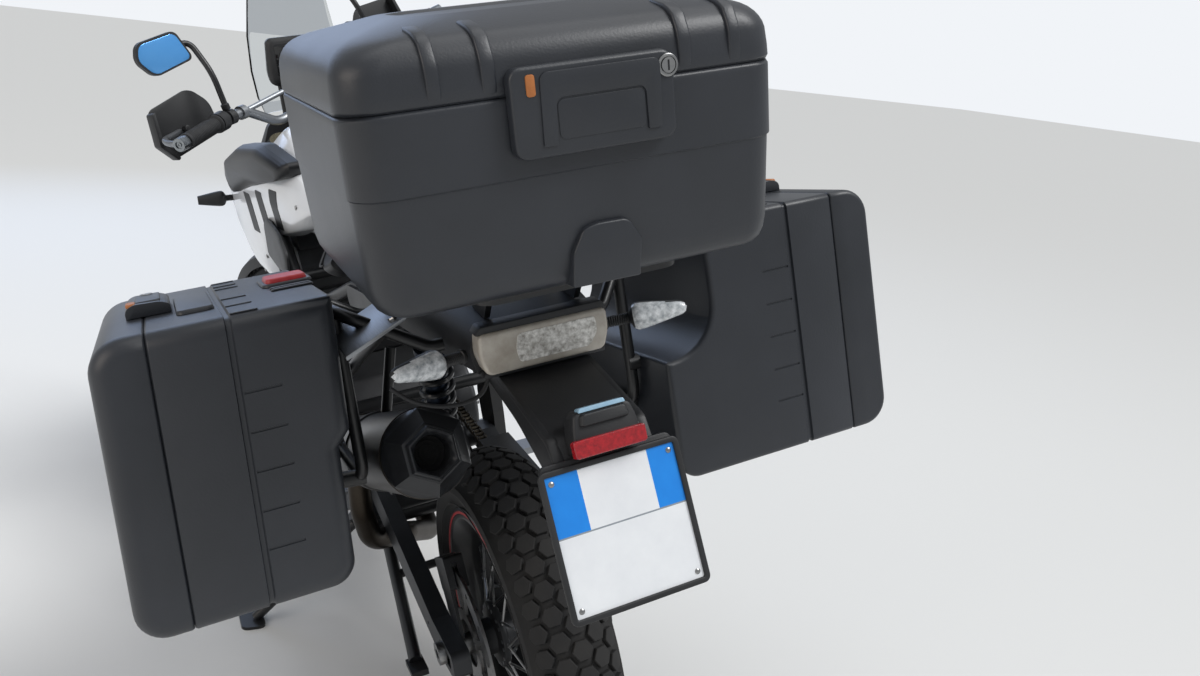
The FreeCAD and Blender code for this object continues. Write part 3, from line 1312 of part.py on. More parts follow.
def front_mudguard():
    # A close guard over the tyre, with stays to the legs.
    thick, gap, half = 3.0, 16.0, front_tyre_width / 2 + 10
    radius = front_tyre_radius + gap
    outline = [(-half, radius - 34), (-half + 10, radius - 6), (-22, radius), (22, radius), (half - 10, radius - 6),
               (half, radius - 34), (half - thick, radius - 34), (half - 10 - thick, radius - 6 - thick),
               (22, radius - thick), (-22, radius - thick), (-half + 10 + thick, radius - 6 - thick),
               (-half + thick, radius - 34)]
    points = [V(side, 0, r) for side, r in outline]
    band = Part.Face(Part.makePolygon(points + points[:1])).revolve(V(0, 0, 0), V(1, 0, 0), 128)
    band = Part.Solid(band.Shells[0]) if not band.Solids else band.Solids[0]
    band.rotate(V(0, 0, 0), V(1, 0, 0), -52)
    band.translate(front_axle)
    stays = []
    for s in (-1, 1):
        inside = fork_half_spacing - fork_tube_radius
        stays.append(rod(on_steering(front_axle_at + 342, fork_ahead, s * (half - 2)),
                         on_steering(front_axle_at + 342, fork_ahead, s * (inside - seat_gap)), 10))
    return fuse([band] + stays)


def handlebar_points(s):
    # From the clamp up and out to the grips, swept back.
    return [on_steering(handlebar_at, fork_ahead, s * 70), on_steering(handlebar_at, fork_ahead, s * 110),
            V(s * 190, 1164, 1188), V(s * 260, 1148, 1196), V(s * handlebar_half_width, 1086, 1206)]


def handlebar():
    middle = rod(handlebar_points(-1)[0], handlebar_points(1)[0], handlebar_radius)
    ends = [bent_tube(handlebar_points(s), handlebar_radius, 60) for s in (-1, 1)]
    brace = rod(handlebar_points(-1)[2] + V(10, 0, 0), handlebar_points(1)[2] - V(10, 0, 0), 6)
    return fuse([middle, brace] + ends)


def along_bar(s, share):
    # A point on the grip's straight run, or for a negative share on the run inboard of it.
    run, inner, outer = handlebar_points(s)[2:5]
    return inner + (outer - inner) * share if share >= 0 else inner + (inner - run) * share


def bar_core(s):
    # The room that everything clamped on the bar leaves for it.
    return bent_tube(handlebar_points(s), handlebar_radius + seat_gap, 60)


def grips():
    parts = []
    for s in (-1, 1):
        grip = rod(along_bar(s, 0.2), along_bar(s, 0.985), grip_radius)
        collar = rod(along_bar(s, 0.2), along_bar(s, 0.24), grip_radius + 4)
        parts.append(fuse([grip, collar]).cut(bar_core(s)))
    return group(parts)


def hand_controls():
    # Switch block, lever perch and lever on each side, with the brake's reservoir on the right.
    parts = []
    for s in (-1, 1):
        d = (along_bar(s, 1.0) - along_bar(s, 0.0)).normalize()
        switch = rod(along_bar(s, 0.02), along_bar(s, 0.19), 22)
        perch_at = along_bar(s, -0.3)
        inboard = (along_bar(s, 0.0) - along_bar(s, -1.0)).normalize()
        perch = rod(perch_at - inboard * 9, perch_at + inboard * 9, 17)
        lever_root = perch_at + V(0, 34, 4)
        lever = bent_tube([lever_root, lever_root + d * 60 + V(0, 14, 0), lever_root + d * 160 + V(0, 8, -2)], 6, 60)
        piece = fuse([perch, rod(perch_at + V(0, 15, 1), lever_root, 9), lever])
        if s > 0:
            piece = fuse([piece, rod(perch_at + V(0, 32, 8), perch_at + V(0, 38, 48), 15)])
        parts += [piece.cut(bar_core(s)), switch.cut(bar_core(s))]
    return group(parts)


def handguards():
    # An open loop from the bar end to the inner bar, and a wind deflector on it.
    parts = []
    for s in (-1, 1):
        end = along_bar(s, 1.0)
        d = (along_bar(s, 1.0) - along_bar(s, 0.0)).normalize()
        inboard = (along_bar(s, 0.0) - along_bar(s, -1.0)).normalize()
        inner = along_bar(s, -0.85)
        weight = rod(end + d * seat_gap, end + d * 24, 15)
        loop = bent_tube([end + d * 12, end + d * 14 + V(s * 4, 40, 2), end + V(s * 2, 76, 6), inner + V(s * 80, 96, 4),
                          inner + V(0, 60, 2), inner + V(0, 15, 0)], 7, 30)
        centre = (end + inner) * 0.5 + V(s * 16, 92, 16)
        half = 84
        shell = prism("xz", [(centre.x - s * half, centre.z - 52), (centre.x + s * half * 0.7, centre.z - 62),
                             (centre.x + s * half, centre.z - 20), (centre.x + s * half * 0.8, centre.z + 56),
                             (centre.x - s * half * 0.6, centre.z + 66), (centre.x - s * half, centre.z + 20)],
                      centre.y, centre.y + 5, 14)
        stay = rod(centre + V(0, -14, -10), centre + V(0, 2, -10), 7)
        clamp = rod(inner - inboard * 8, inner + inboard * 8, 16)
        parts.append(fuse([loop, weight, clamp, stay, shell]).cut(bar_core(s)))
    return group(parts)


def mirrors():
    # Angular heads on stems from the lever perches.
    parts = []
    for s in (-1, 1):
        perch_at = along_bar(s, -0.3)
        head = V(s * 300, 1186, 1368)
        root = perch_at + V(0, 0, 18.4)
        stem = bent_tube([root, root + V(s * 6, 0, 60), head + V(0, 14, -30), head + V(0, 14, 0)], 6, 40)
        outline = [(head.x - s * 62, head.z - 34), (head.x + s * 44, head.z - 38), (head.x + s * 70, head.z + 6),
                   (head.x + s * 52, head.z + 40), (head.x - s * 46, head.z + 36)]
        wires = []
        for y, share in ((head.y, 1.0), (head.y + 16, 0.92), (head.y + 34, 0.5)):
            points = [V(head.x + (a - head.x) * share, y, head.z + (b - head.z) * share) for a, b in outline]
            wires.append(closed_wire(points, 10 * share))
        parts.append(fuse([stem, loft(wires)]))
    return group(parts)


# Assembly

steering_nodes = ("triple_clamps", "fork_legs", "front_axle", "front_calipers", "front_mudguard", "handlebar",
                  "grips", "hand_controls", "handguards", "mirrors", "front_tyre", "front_wheel_spoked",
                  "front_brake_discs")


def steering_turn():
    return FreeCAD.Placement(V(0, 0, 0), FreeCAD.Rotation(steer_up, steering_lock), steer_foot)


def lowest_of_wheel(turn, centre, axle, outline):
    # The lowest point of a turned wheel, from its crown's outline.
    there = turn.multVec(centre)
    tilt = turn.multVec(axle).z
    return min(there.z + side * tilt - radius * math.sqrt(1 - tilt * tilt) for side, radius in outline)


def parked_placement():
    # Lean to the left, then pitch until both tyres rest on the ground.
    lean = FreeCAD.Rotation(V(0, 1, 0), -lean_angle)
    steered = steering_turn()
    centre, axle = steered.multVec(front_axle), steered.Rotation.multVec(V(1, 0, 0))
    pitch = 0.0
    for _ in range(5):
        turn = FreeCAD.Rotation(V(1, 0, 0), pitch).multiply(lean)
        rear_low = lowest_of_wheel(turn, rear_axle, V(1, 0, 0), rear_outline())
        front_low = lowest_of_wheel(turn, centre, axle, front_outline())
        pitch -= math.degrees(math.atan2(front_low - rear_low, wheelbase))
    return FreeCAD.Placement(V(0, 0, -rear_low), turn)


def build_nodes():
    pieces = {
        "rear_tyre": revolved(rear_outline(), rear_axle),
        "front_tyre": revolved(front_outline(), front_axle),
        "rear_wheel_spoked": spoked_wheel(rear_axle, rear_rim_radius, rear_rim_width, 32, 58, 50, 62,
                                          rear_hub_ends()),
        "front_wheel_spoked": spoked_wheel(front_axle, front_rim_radius, front_rim_width, 26, 46, 36, 62,
                                           (front_hub_end(), front_hub_end())),
        "front_brake_discs": group([brake_disc(front_axle, s * front_disc_offset, front_disc_radius, 42, 12)
                                    for s in (-1, 1)]),
        "rear_brake_disc": brake_disc(rear_axle, -rear_disc_offset, rear_disc_radius, 42, 12),
        "rear_sprocket": sprocket(V(chain_line, 0, rear_axle.z), rear_sprocket_teeth, 42, 12),
    }
    makers = (drive_chain, chain_guard, swingarm, rear_caliper, shock_damper, shock_spring, frame, subframe,
              crankcase, cylinders, radiator, exhaust_pipes, silencer, silencer_cap, bash_plate, footrests,
              foot_controls, seat, tank_cover, side_fairings, knee_panels, beak, headlamp, windscreen,
              instruments, tail_cover, rear_mudguard, number_plate, tail_lamp, indicators, luggage_rack,
              pannier_racks, side_stand, centre_stand, top_case_body, top_case_lid, triple_clamps, fork_legs,
              front_calipers, front_mudguard, handlebar, grips, hand_controls, handguards, mirrors)
    for maker in makers:
        pieces[maker.__name__] = maker()
    pieces["rear_axle"] = rear_axle_parts()
    pieces["front_axle"] = front_axle_parts()
    for side, name in ((-1, "left"), (1, "right")):
        pieces["pannier_%s_body" % name] = pannier_body(side)
        pieces["pannier_%s_lid" % name] = pannier_lid(side)
    cheeks, pin = side_stand_bracket()
    pieces["frame"] = fuse([pieces["frame"], pin, centre_stand_pin()] + cheeks)
    for name in steering_nodes:
        pieces[name].Placement = steering_turn().multiply(pieces[name].Placement)
    return pieces


def park(pieces):
    # Lean the machine over and move its origin to the middle of its footprint.
    placed = parked_placement()
    for shape in pieces.values():
        shape.Placement = placed.multiply(shape.Placement)
    box = Part.makeCompound(list(pieces.values())).BoundBox
    shift = V(-box.Center.x, -box.Center.y, -box.ZMin)
    for shape in pieces.values():
        shape.translate(shift)
    return placed, shift


if __name__ == "__main__":
    os.makedirs("parts", exist_ok=True)
    pieces = build_nodes()
    park(pieces)
    for name, shape in pieces.items():
        print(name, round(shape.Volume / 1e3), len(shape.Solids), shape.isValid())
        shape.exportStep(os.path.join("parts", name + ".step"))
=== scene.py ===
import json
import math

import bmesh
import bpy
from mathutils import Matrix, Vector
from mathutils.bvhtree import BVHTree


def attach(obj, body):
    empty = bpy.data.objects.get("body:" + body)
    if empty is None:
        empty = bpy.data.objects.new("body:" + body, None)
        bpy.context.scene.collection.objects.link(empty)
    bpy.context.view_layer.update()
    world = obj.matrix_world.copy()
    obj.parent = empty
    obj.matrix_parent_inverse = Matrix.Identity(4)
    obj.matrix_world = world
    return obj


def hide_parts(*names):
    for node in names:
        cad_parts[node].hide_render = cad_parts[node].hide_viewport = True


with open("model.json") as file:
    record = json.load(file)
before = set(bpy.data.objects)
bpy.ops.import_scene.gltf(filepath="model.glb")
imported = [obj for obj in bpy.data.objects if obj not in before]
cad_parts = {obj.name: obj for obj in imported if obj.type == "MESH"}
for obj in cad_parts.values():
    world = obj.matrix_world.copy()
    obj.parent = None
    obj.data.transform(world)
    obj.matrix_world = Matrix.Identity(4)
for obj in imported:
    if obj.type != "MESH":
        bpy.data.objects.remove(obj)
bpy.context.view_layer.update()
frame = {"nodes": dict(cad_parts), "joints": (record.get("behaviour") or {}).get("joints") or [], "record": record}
nodes = frame["nodes"]
print("frame loaded:", len(nodes), "nodes")

# where the parked machine stands, worked out from its joints
joints = {joint["name"]: joint for joint in frame["joints"]}
axleHeight = 321.0  # rear tyre's radius
steerFoot = Vector((0.0, 1695.0, 0.0))  # where the steering axis meets the ground
steerLock = math.radians(32)  # the bars rest on the left stop
headAngle = math.radians(64)


def parkedMatrix():
    right = Vector(joints["rear_wheel_spin"]["axis"]).normalized()
    axle = Vector(joints["rear_wheel_spin"]["pos_m"])
    across = Vector(joints["steering_axis"]["pos_m"]) - axle
    across -= right * across.dot(right)
    y, z = steerFoot.y, -axleHeight
    length = y * y + z * z
    forward = (across * y - right.cross(across) * z) * 1000 / length
    forward.normalize()
    up = right.cross(forward)
    turn = Matrix((right, forward, up)).transposed().to_4x4()
    origin = axle - up * axleHeight / 1000
    return Matrix.Translation(origin) @ turn @ Matrix.Scale(0.001, 4)


parked = parkedMatrix()
steerUp = Vector((0.0, -math.cos(headAngle), math.sin(headAngle)))
steered = parked @ Matrix.Translation(steerFoot) @ Matrix.Rotation(steerLock, 4, steerUp) \
    @ Matrix.Translation(-steerFoot)


# finishes
def hexColour(code):
    channels = [int(code[i:i + 2], 16) / 255 for i in (1, 3, 5)]
    return (*[c / 12.92 if c <= 0.04045 else ((c + 0.055) / 1.055) ** 2.4 for c in channels], 1.0)


def addNode(tree, kind, settings, links=()):
    # settings go to the node's own values or, with a number or a socket's name, to an input
    node = tree.nodes.new(kind)
    for key, value in settings.items():
        if isinstance(key, str) and hasattr(node, key):
            setattr(node, key, value)
        else:
            node.inputs[key].default_value = value
    for source, output, target in links:
        tree.links.new(source.outputs[output], node.inputs[target])
    return node


def perMetre(millimetres):
    return 1000.0 / millimetres


materials = {}


def finish(name, colour, roughness, metallic=0.0, second=None, patch=40.0, grain=0.0, depth=0.2,
           stretch=(1.0, 1.0, 1.0), coat=0.0, transmission=0.0, ior=1.5, roughSpread=0.0):
    # a shader with a slow change between two colours and a fine grain in its relief
    material = bpy.data.materials.new(name)
    material.use_nodes = True
    tree = material.node_tree
    shader = tree.nodes["Principled BSDF"]
    settings = {"Base Color": hexColour(colour), "Roughness": roughness, "Metallic": metallic,
                "Coat Weight": coat, "Coat Roughness": 0.08, "Transmission Weight": transmission}
    if not metallic:
        settings["IOR"] = ior
    for socket, value in settings.items():
        shader.inputs[socket].default_value = value
    place = addNode(tree, "ShaderNodeTexCoord", {})
    mapping = addNode(tree, "ShaderNodeMapping", {"Scale": stretch}, [(place, "Object", "Vector")])
    cloud = addNode(tree, "ShaderNodeTexNoise", {"Scale": perMetre(patch), "Detail": 5.0, "Roughness": 0.6},
                    [(mapping, "Vector", "Vector")])
    ramp = addNode(tree, "ShaderNodeValToRGB", {}, [(cloud, "Fac", "Fac")])
    for element, at, code in zip(ramp.color_ramp.elements, (0.35, 0.7), (colour, second or colour)):
        element.position = at
        element.color = hexColour(code)
    tree.links.new(ramp.outputs["Color"], shader.inputs["Base Color"])
    if roughSpread:
        limits = {"To Min": roughness - roughSpread, "To Max": roughness + roughSpread}
        spread = addNode(tree, "ShaderNodeMapRange", limits, [(cloud, "Fac", "Value")])
        tree.links.new(spread.outputs["Result"], shader.inputs["Roughness"])
    if grain:
        fine = addNode(tree, "ShaderNodeTexNoise", {"Scale": perMetre(grain), "Detail": 2.0},
                       [(mapping, "Vector", "Vector")])
        bump = addNode(tree, "ShaderNodeBump", {"Strength": depth, "Distance": grain / 4000},
                       [(fine, "Fac", "Height")])
        tree.links.new(bump.outputs["Normal"], shader.inputs["Normal"])
    materials[name] = material
    return material


# moulded ABS of the cases: a fine leather grain that scatters light, drawn at 3 mm so that it shows
finish("caseAbs", "#24272c", 0.4, second="#2b2e34", patch=220, grain=3.0, depth=0.22, roughSpread=0.06)
# glass-filled polyamide: mudguards and tail, drier than the cases
finish("blackPolyamide", "#1a1b1d", 0.5, second="#232426", patch=90, grain=2.4, depth=0.25, roughSpread=0.08)
# powder-coated steel tube: even, half gloss
finish("powderCoat", "#141517", 0.36, second="#1b1c1e", patch=60, grain=3.0, depth=0.08, roughSpread=0.05)
# tyre rubber with road dust in its grooves
finish("tyreRubber", "#151516", 0.78, second="#201f1e", patch=70, grain=2.5, depth=0.3)
# ribbed soft rubber of grips and pads
finish("gripRubber", "#1f2022", 0.7, second="#27282a", patch=30, grain=1.5, depth=0.2)
# black enamelled rims and their thin red line
finish("rimEnamel", "#1b1c1e", 0.3, 0.3, second="#232427", patch=60, coat=0.3)
finish("stripeRed", "#b3262b", 0.4, second="#a92329", patch=40)
# brushed aluminium plate and bars, with lines along the machine
finish("brushedAluminium", "#85888c", 0.42, 1.0, second="#94979b", patch=14, stretch=(8.0, 0.6, 8.0),
       roughSpread=0.08)
# ground stainless steel discs and spindles
finish("groundSteel", "#8f9091", 0.3, 1.0, second="#a2a2a1", patch=12, roughSpread=0.08)
# oiled chain steel with grit stuck to it
finish("chainSteel", "#4b463d", 0.45, 0.9, second="#2c2722", patch=8, roughSpread=0.1)
# cast engine cases under dark paint: orange-peel grain from the sand
finish("castCases", "#393a3c", 0.48, 0.55, second="#444547", patch=80, grain=4.0, depth=0.25,
       roughSpread=0.06)
# swingarm's dark grey metallic paint
finish("swingarmPaint", "#2e3033", 0.38, 0.4, second="#383a3d", patch=80, grain=2.0, depth=0.06)
# stainless pipes tinted by heat: straw to brown
finish("heatedSteel", "#3f3a34", 0.4, 1.0, second="#2c2620", patch=120, roughSpread=0.08)
# silencer sleeve in dark satin with a brown cast
finish("silencerSkin", "#2b2825", 0.34, 0.6, second="#37322d", patch=90, grain=3.0, depth=0.05)
# fork tubes in gold-brown anodising
finish("forkAnodising", "#7c7460", 0.25, 1.0, second="#8a8169", patch=60)
# gloss white two-pack paint
finish("whiteLacquer", "#e3e6ea", 0.2, second="#dfe2e6", patch=200, coat=0.6)
# damper body, anodised a blue so dark that it reads as black in shade
finish("blueAnodising", "#1a212d", 0.36, 0.8, second="#202937", patch=40)
# spring wire under black enamel
finish("springPaint", "#17181a", 0.3, second="#1e1f21", patch=30, coat=0.3)
# glass-filled polyamide dyed amber for the release tabs
finish("amberPolyamide", "#a5632f", 0.5, second="#b06d38", patch=12)
# red polyamide of the case levers
finish("redPolyamide", "#a82a2e", 0.42, second="#b5343a", patch=20)
# vinyl seat cover, grain of about 2 mm
finish("seatVinyl", "#1c1d1f", 0.5, second="#242527", patch=60, grain=2.2, depth=0.35)
# clear screen sheet: a low index keeps its edge from drawing a dark line
finish("screenClear", "#f2f6f8", 0.02, transmission=1.0, ior=1.08)
# retroreflective plate faces
finish("plateWhite", "#e4e7ea", 0.35, second="#dcdfe3", patch=50, grain=2.5, depth=0.05)
finish("plateBlue", "#1480dc", 0.35, second="#1987e2", patch=30)
# a grey line, 2 mm wide, between the plate's fields on the flat sheet
finish("plateGroove", "#8d959c", 0.5, second="#7f878e", patch=20)
# red acrylic reflector over a grid of corner cubes
finish("reflectorRed", "#a81620", 0.16, second="#7d0f18", patch=5, coat=0.5, grain=3.0, depth=0.3)
# frosted polycarbonate of the tail lens, warm grey where the reflector lies behind it
finish("lensFrosted", "#b4aea4", 0.24, second="#9d968b", patch=26, coat=0.4, grain=2.5, depth=0.12)
# bright prisms in the middle of the lens, drawn at 5 mm so that they show
finish("lensPrisms", "#f0efeb", 0.16, second="#8b877f", patch=7, coat=0.5, grain=5.0, depth=0.9)
# clear acrylic over a chromed, faceted indicator bowl
finish("lensFacet", "#e9ecee", 0.1, second="#8f969b", patch=9, coat=0.6, grain=5.0, depth=0.7)
# moulded black ABS of the shoulder wedges, satin so that the sky only greys its top
finish("wedgeGloss", "#101114", 0.42, second="#15161a", patch=120)
# clear headlamp cover over a chromed bowl
finish("lensHead", "#d5dadd", 0.06, second="#c4cacf", patch=40, coat=0.7)
# mirror glass with a blue anti-glare coat
finish("mirrorSilver", "#4b97dc", 0.18, 0.35, second="#5aa2e2", patch=150, coat=0.3)
# turned bar ends under clear anodising
finish("barAnodised", "#8f9498", 0.3, 1.0, second="#84898d", patch=10, roughSpread=0.05)
# stoved black enamel of the silencer's cap, polished by handling on its facets
finish("capEnamel", "#232427", 0.3, 0.35, second="#2b2d30", patch=30, grain=2.0, depth=0.05, roughSpread=0.06)
# soot inside the outlet, and painted shade: its near-black also stands in for the dark depth of the pipe
finish("sootBlack", "#0b0b0b", 0.85, second="#141313", patch=8)
# blue-tinted cover of the plate lamp
finish("lensBlue", "#9fc0d6", 0.2, second="#8bb0c9", patch=15, coat=0.3)
# radiator core of black coated fins
finish("radiatorCoat", "#17181a", 0.55, 0.3, second="#202123", patch=20)
# display glass
finish("displayGlass", "#0b0c0e", 0.08, second="#101113", patch=60, coat=0.5)

# the solids' own finishes, and for each finish the slot of its first node
nodeFinish = {
    "tyreRubber": ["rear_tyre", "front_tyre"],
    "rimEnamel": ["rear_wheel_spoked", "front_wheel_spoked"],
    "groundSteel": ["front_brake_discs", "rear_brake_disc", "rear_sprocket", "rear_axle", "front_axle"],
    "chainSteel": ["drive_chain"],
    "blackPolyamide": ["chain_guard", "rear_mudguard", "front_mudguard", "tail_cover", "knee_panels", "beak",
                       "handguards", "mirrors", "hand_controls", "instruments", "indicators"],
    "swingarmPaint": ["swingarm"],
    "powderCoat": ["rear_caliper", "front_calipers", "frame", "subframe", "side_stand", "centre_stand",
                   "pannier_racks", "silencer_cap", "triple_clamps", "luggage_rack"],
    "blueAnodising": ["shock_damper"],
    "springPaint": ["shock_spring"],
    "castCases": ["crankcase", "cylinders"],
    "radiatorCoat": ["radiator"],
    "heatedSteel": ["exhaust_pipes"],
    "silencerSkin": ["silencer"],
    "brushedAluminium": ["bash_plate", "footrests", "foot_controls", "handlebar"],
    "forkAnodising": ["fork_legs"],
    "seatVinyl": ["seat"],
    "whiteLacquer": ["tank_cover", "side_fairings"],
    "lensHead": ["headlamp"],
    "lensFrosted": ["tail_lamp"],
    "screenClear": ["windscreen"],
    "plateWhite": ["number_plate"],
    "gripRubber": ["grips"],
    "caseAbs": ["top_case_body", "top_case_lid", "pannier_left_body", "pannier_left_lid",
                "pannier_right_body", "pannier_right_lid"],
}
for name, members in nodeFinish.items():
    for member in members:
        nodes[member].data.materials.clear()
        nodes[member].data.materials.append(materials[name])
slotByNode = {entry["node"]: entry["material_slot"] for entry in frame["record"]["subparts"]}
slotOf = {name: slotByNode[members[0]] for name, members in nodeFinish.items()}
for slot, members in {"lamp_lens": ("lensBlue", "reflectorRed", "lensPrisms", "lensFacet"),
                      "black_plastic": ("mirrorSilver", "wedgeGloss", "displayGlass"),
                      "case_plastic": ("amberPolyamide", "redPolyamide"),
                      "black_metal": ("capEnamel", "sootBlack")}.items():
    slotOf.update({name: slot for name in members})
print("finishes on", sum(len(members) for members in nodeFinish.values()), "nodes")


# modelling helpers, in millimetres on the upright machine
def box2(x0, x1, y0, y1):
    # the corners of a plain rectangle
    return [(x0, y0), (x1, y0), (x1, y1), (x0, y1)]


def onSide(side, x, y, z):
    # a place given for the right, on either side
    return Vector((side * x, y, z))


def vertsOf(items):
    return [item for item in items if isinstance(item, bmesh.types.BMVert)]


def outlineFace(bm, points, radii, place, steps=7):
    # one flat face with its corners rounded
    verts = [bm.verts.new(place(a, b)) for a, b in points]
    others = set(bm.faces)
    bm.faces.new(verts)
    if not isinstance(radii, (list, tuple)):
        radii = [radii] * len(verts)
    for vert, radius in zip(verts, radii):
        if radius:
            bmesh.ops.bevel(bm, geom=[vert], offset=radius, segments=steps, profile=0.5, affect="VERTICES",
                            material=-1)
    return next(face for face in bm.faces if face not in others)


axisPlaces = {"x": lambda level: lambda a, b: (level, a, b), "y": lambda level: lambda a, b: (a, level, b),
              "z": lambda level: lambda a, b: (a, b, level)}
axisWays = {"x": Vector((1, 0, 0)), "y": Vector((0, 1, 0)), "z": Vector((0, 0, 1))}


def slab(bm, axis, points, low, high, radii=0.0, draw=1.0, steps=7):
    # an outline pulled along an axis; draw below one narrows its far end
    face = outlineFace(bm, points, radii, axisPlaces[axis](low), steps)
    middle = face.calc_center_median()
    far = vertsOf(bmesh.ops.extrude_face_region(bm, geom=[face])["geom"])
    bmesh.ops.translate(bm, verts=far, vec=axisWays[axis] * (high - low))
    if draw != 1.0:
        size = Vector((draw, draw, draw)) - axisWays[axis] * (draw - 1.0)
        bmesh.ops.scale(bm, verts=far, vec=size, space=Matrix.Translation(-middle))
    return far


def bar(bm, start, end, radius, segments=16):
    # a round bar between two points
    start, end = Vector(start), Vector(end)
    way = end - start
    turn = way.to_track_quat("Z", "Y").to_matrix().to_4x4()
    bmesh.ops.create_cone(bm, cap_ends=True, segments=segments, radius1=radius, radius2=radius,
                          depth=way.length, matrix=Matrix.Translation((start + end) / 2) @ turn)


def turned(bm, profile, start, way, steps=32):
    # a profile of (distance along, radius) spun about an axis
    start, way = Vector(start), Vector(way).normalized()
    aside = way.orthogonal().normalized()
    verts = [bm.verts.new(start + way * along + aside * max(radius, 0.001)) for along, radius in profile]
    edges = [bm.edges.new(pair) for pair in zip(verts, verts[1:])]
    bmesh.ops.spin(bm, geom=verts + edges, cent=start, axis=way, angle=math.tau, steps=steps, use_merge=True,
                   use_duplicate=False)


def soften(bm, width, segments=2, angle=30, keep=None):
    edges = [edge for edge in bm.edges if len(edge.link_faces) == 2
             and edge.calc_face_angle(0.0) > math.radians(angle) and (keep is None or keep(edge))]
    bmesh.ops.bevel(bm, geom=edges, offset=width, segments=segments, profile=0.5, affect="EDGES", material=-1,
                    clamp_overlap=True)


def cut(bm, at, way, clearOuter=False):
    every = list(bm.verts) + list(bm.edges) + list(bm.faces)
    made = bmesh.ops.bisect_plane(bm, geom=every, dist=0.001, plane_co=at, plane_no=way,
                                  clear_outer=clearOuter)
    return vertsOf(made["geom_cut"])


def outlineLoop(bm, points, radii, place, steps):
    # the edges alone of a rounded outline
    others = set(bm.edges)
    face = outlineFace(bm, points, radii, place, steps)
    bmesh.ops.delete(bm, geom=[face], context="FACES_ONLY")
    return [edge for edge in bm.edges if edge not in others]


def ring(bm, halfX, halfY, radius, z, middleY):
    # a rounded rectangle of edges at one height
    corners = box2(-halfX, halfX, middleY - halfY, middleY + halfY)
    return outlineLoop(bm, corners, radius, axisPlaces["z"](z), 8)


def stack(bm, rings, closeLow=False, closeHigh=False):
    for low, high in zip(rings, rings[1:]):
        bmesh.ops.bridge_loops(bm, edges=low + high)
    if closeLow:
        bmesh.ops.edgeloop_fill(bm, edges=rings[0])
    if closeHigh:
        bmesh.ops.edgeloop_fill(bm, edges=rings[-1])


def newPiece(name, bm, material, body="chassis", place=None, wall=0.0, sharp=35, slotName=None):
    # merges the shape, turns its faces outward, leans it over with the machine and hangs it on a body
    place = parked if place is None else place
    bmesh.ops.remove_doubles(bm, verts=bm.verts, dist=0.01)
    bmesh.ops.recalc_face_normals(bm, faces=bm.faces)
    bm.transform(place)
    if place.determinant() < 0:
        bmesh.ops.reverse_faces(bm, faces=bm.faces)
    mesh = bpy.data.meshes.new(name)
    bm.to_mesh(mesh)
    bm.free()
    piece = bpy.data.objects.new(name, mesh)
    bpy.context.scene.collection.objects.link(piece)
    for part in material if isinstance(material, (list, tuple)) else [material]:
        mesh.materials.append(materials[part])
    mesh.shade_smooth()
    mesh.set_sharp_from_angle(angle=math.radians(sharp))
    if wall:
        solid = piece.modifiers.new("wall", "SOLIDIFY")
        solid.thickness = wall / 1000
        solid.offset = -1.0
        solid.use_even_offset = True
    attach(piece, body)
    return piece


def slabs(name, shapes, edge, material, body="chassis", place=None, slotName=None):
    # a piece of one or more pulled outlines, with its edges softened
    bm = bmesh.new()
    for shape in shapes:
        slab(bm, *shape)
    if edge:
        soften(bm, *edge)
    return newPiece(name, bm, material, body, place, slotName=slotName)


# a hinge's knuckles along its pin: two on the case and, between them, one on the lid
knuckles = {False: ((0.0, 20.0), (40.0, 60.0)), True: ((20.5, 39.5),)}

# side cases: hollow shells split at the lid, hung nose down on their racks
sideCase = {
    "rear": -225.0, "length": 455.0, "floor": 656.0, "top": 1040.0, "outer": 552.0, "seam": 484.0,
    "shelf": 842.0, "cornerRound": 42.0, "footRound": 32.0, "edgeRoll": 24.0, "wall": 4.0, "droop": 9.0,
    "lidGap": 0.6, "out": {-1: 0.0, 1: 34.0}, "splay": {-1: 3.8, 1: 0.4},
    "inner": {-1: (276.0, 259.0), 1: (168.0, 255.0)}, "rise": {-1: 20.0, 1: 0.0},
    "hollow": {-1: (0.0, 0.0), 1: (78.0, 0.0)}, "beltAt": {-1: 388.0, 1: 400.0}, "beltWidth": 9.0,
    "beltDepth": 2.6, "seamWidth": 3.4, "seamDepth": 1.8,
    "tickHeights": (943.0, 892.0, 841.0, 789.0, 738.0), "tickLength": 46.0, "tickWidth": 3.2,
    "tickDepth": 1.6, "hingeRadius": 6.0, "pinRadius": 3.0,
}
sideName = {-1: "left", 1: "right"}
caseMiddle = (sideCase["floor"] + sideCase["top"]) / 2
droopCentre = Vector((0.0, sideCase["rear"], caseMiddle))
hang = Matrix.Translation(droopCentre) @ Matrix.Rotation(-math.radians(sideCase["droop"]), 4, "X") \
    @ Matrix.Translation(-droopCentre)
flip = Matrix.Scale(-1.0, 4, (1.0, 0.0, 0.0))
casePlace = {-1: parked @ hang @ flip, 1: parked @ hang}


def flared(side, x, z):
    return x + sideCase["out"][side] + (caseMiddle - z) * math.tan(math.radians(sideCase["splay"][side]))


def splayPlane(side, x):
    # a plane across the case that leans with its walls
    return Vector((flared(side, x, caseMiddle), 0.0, caseMiddle)), \
        Vector((1.0, 0.0, math.tan(math.radians(sideCase["splay"][side])))).normalized()


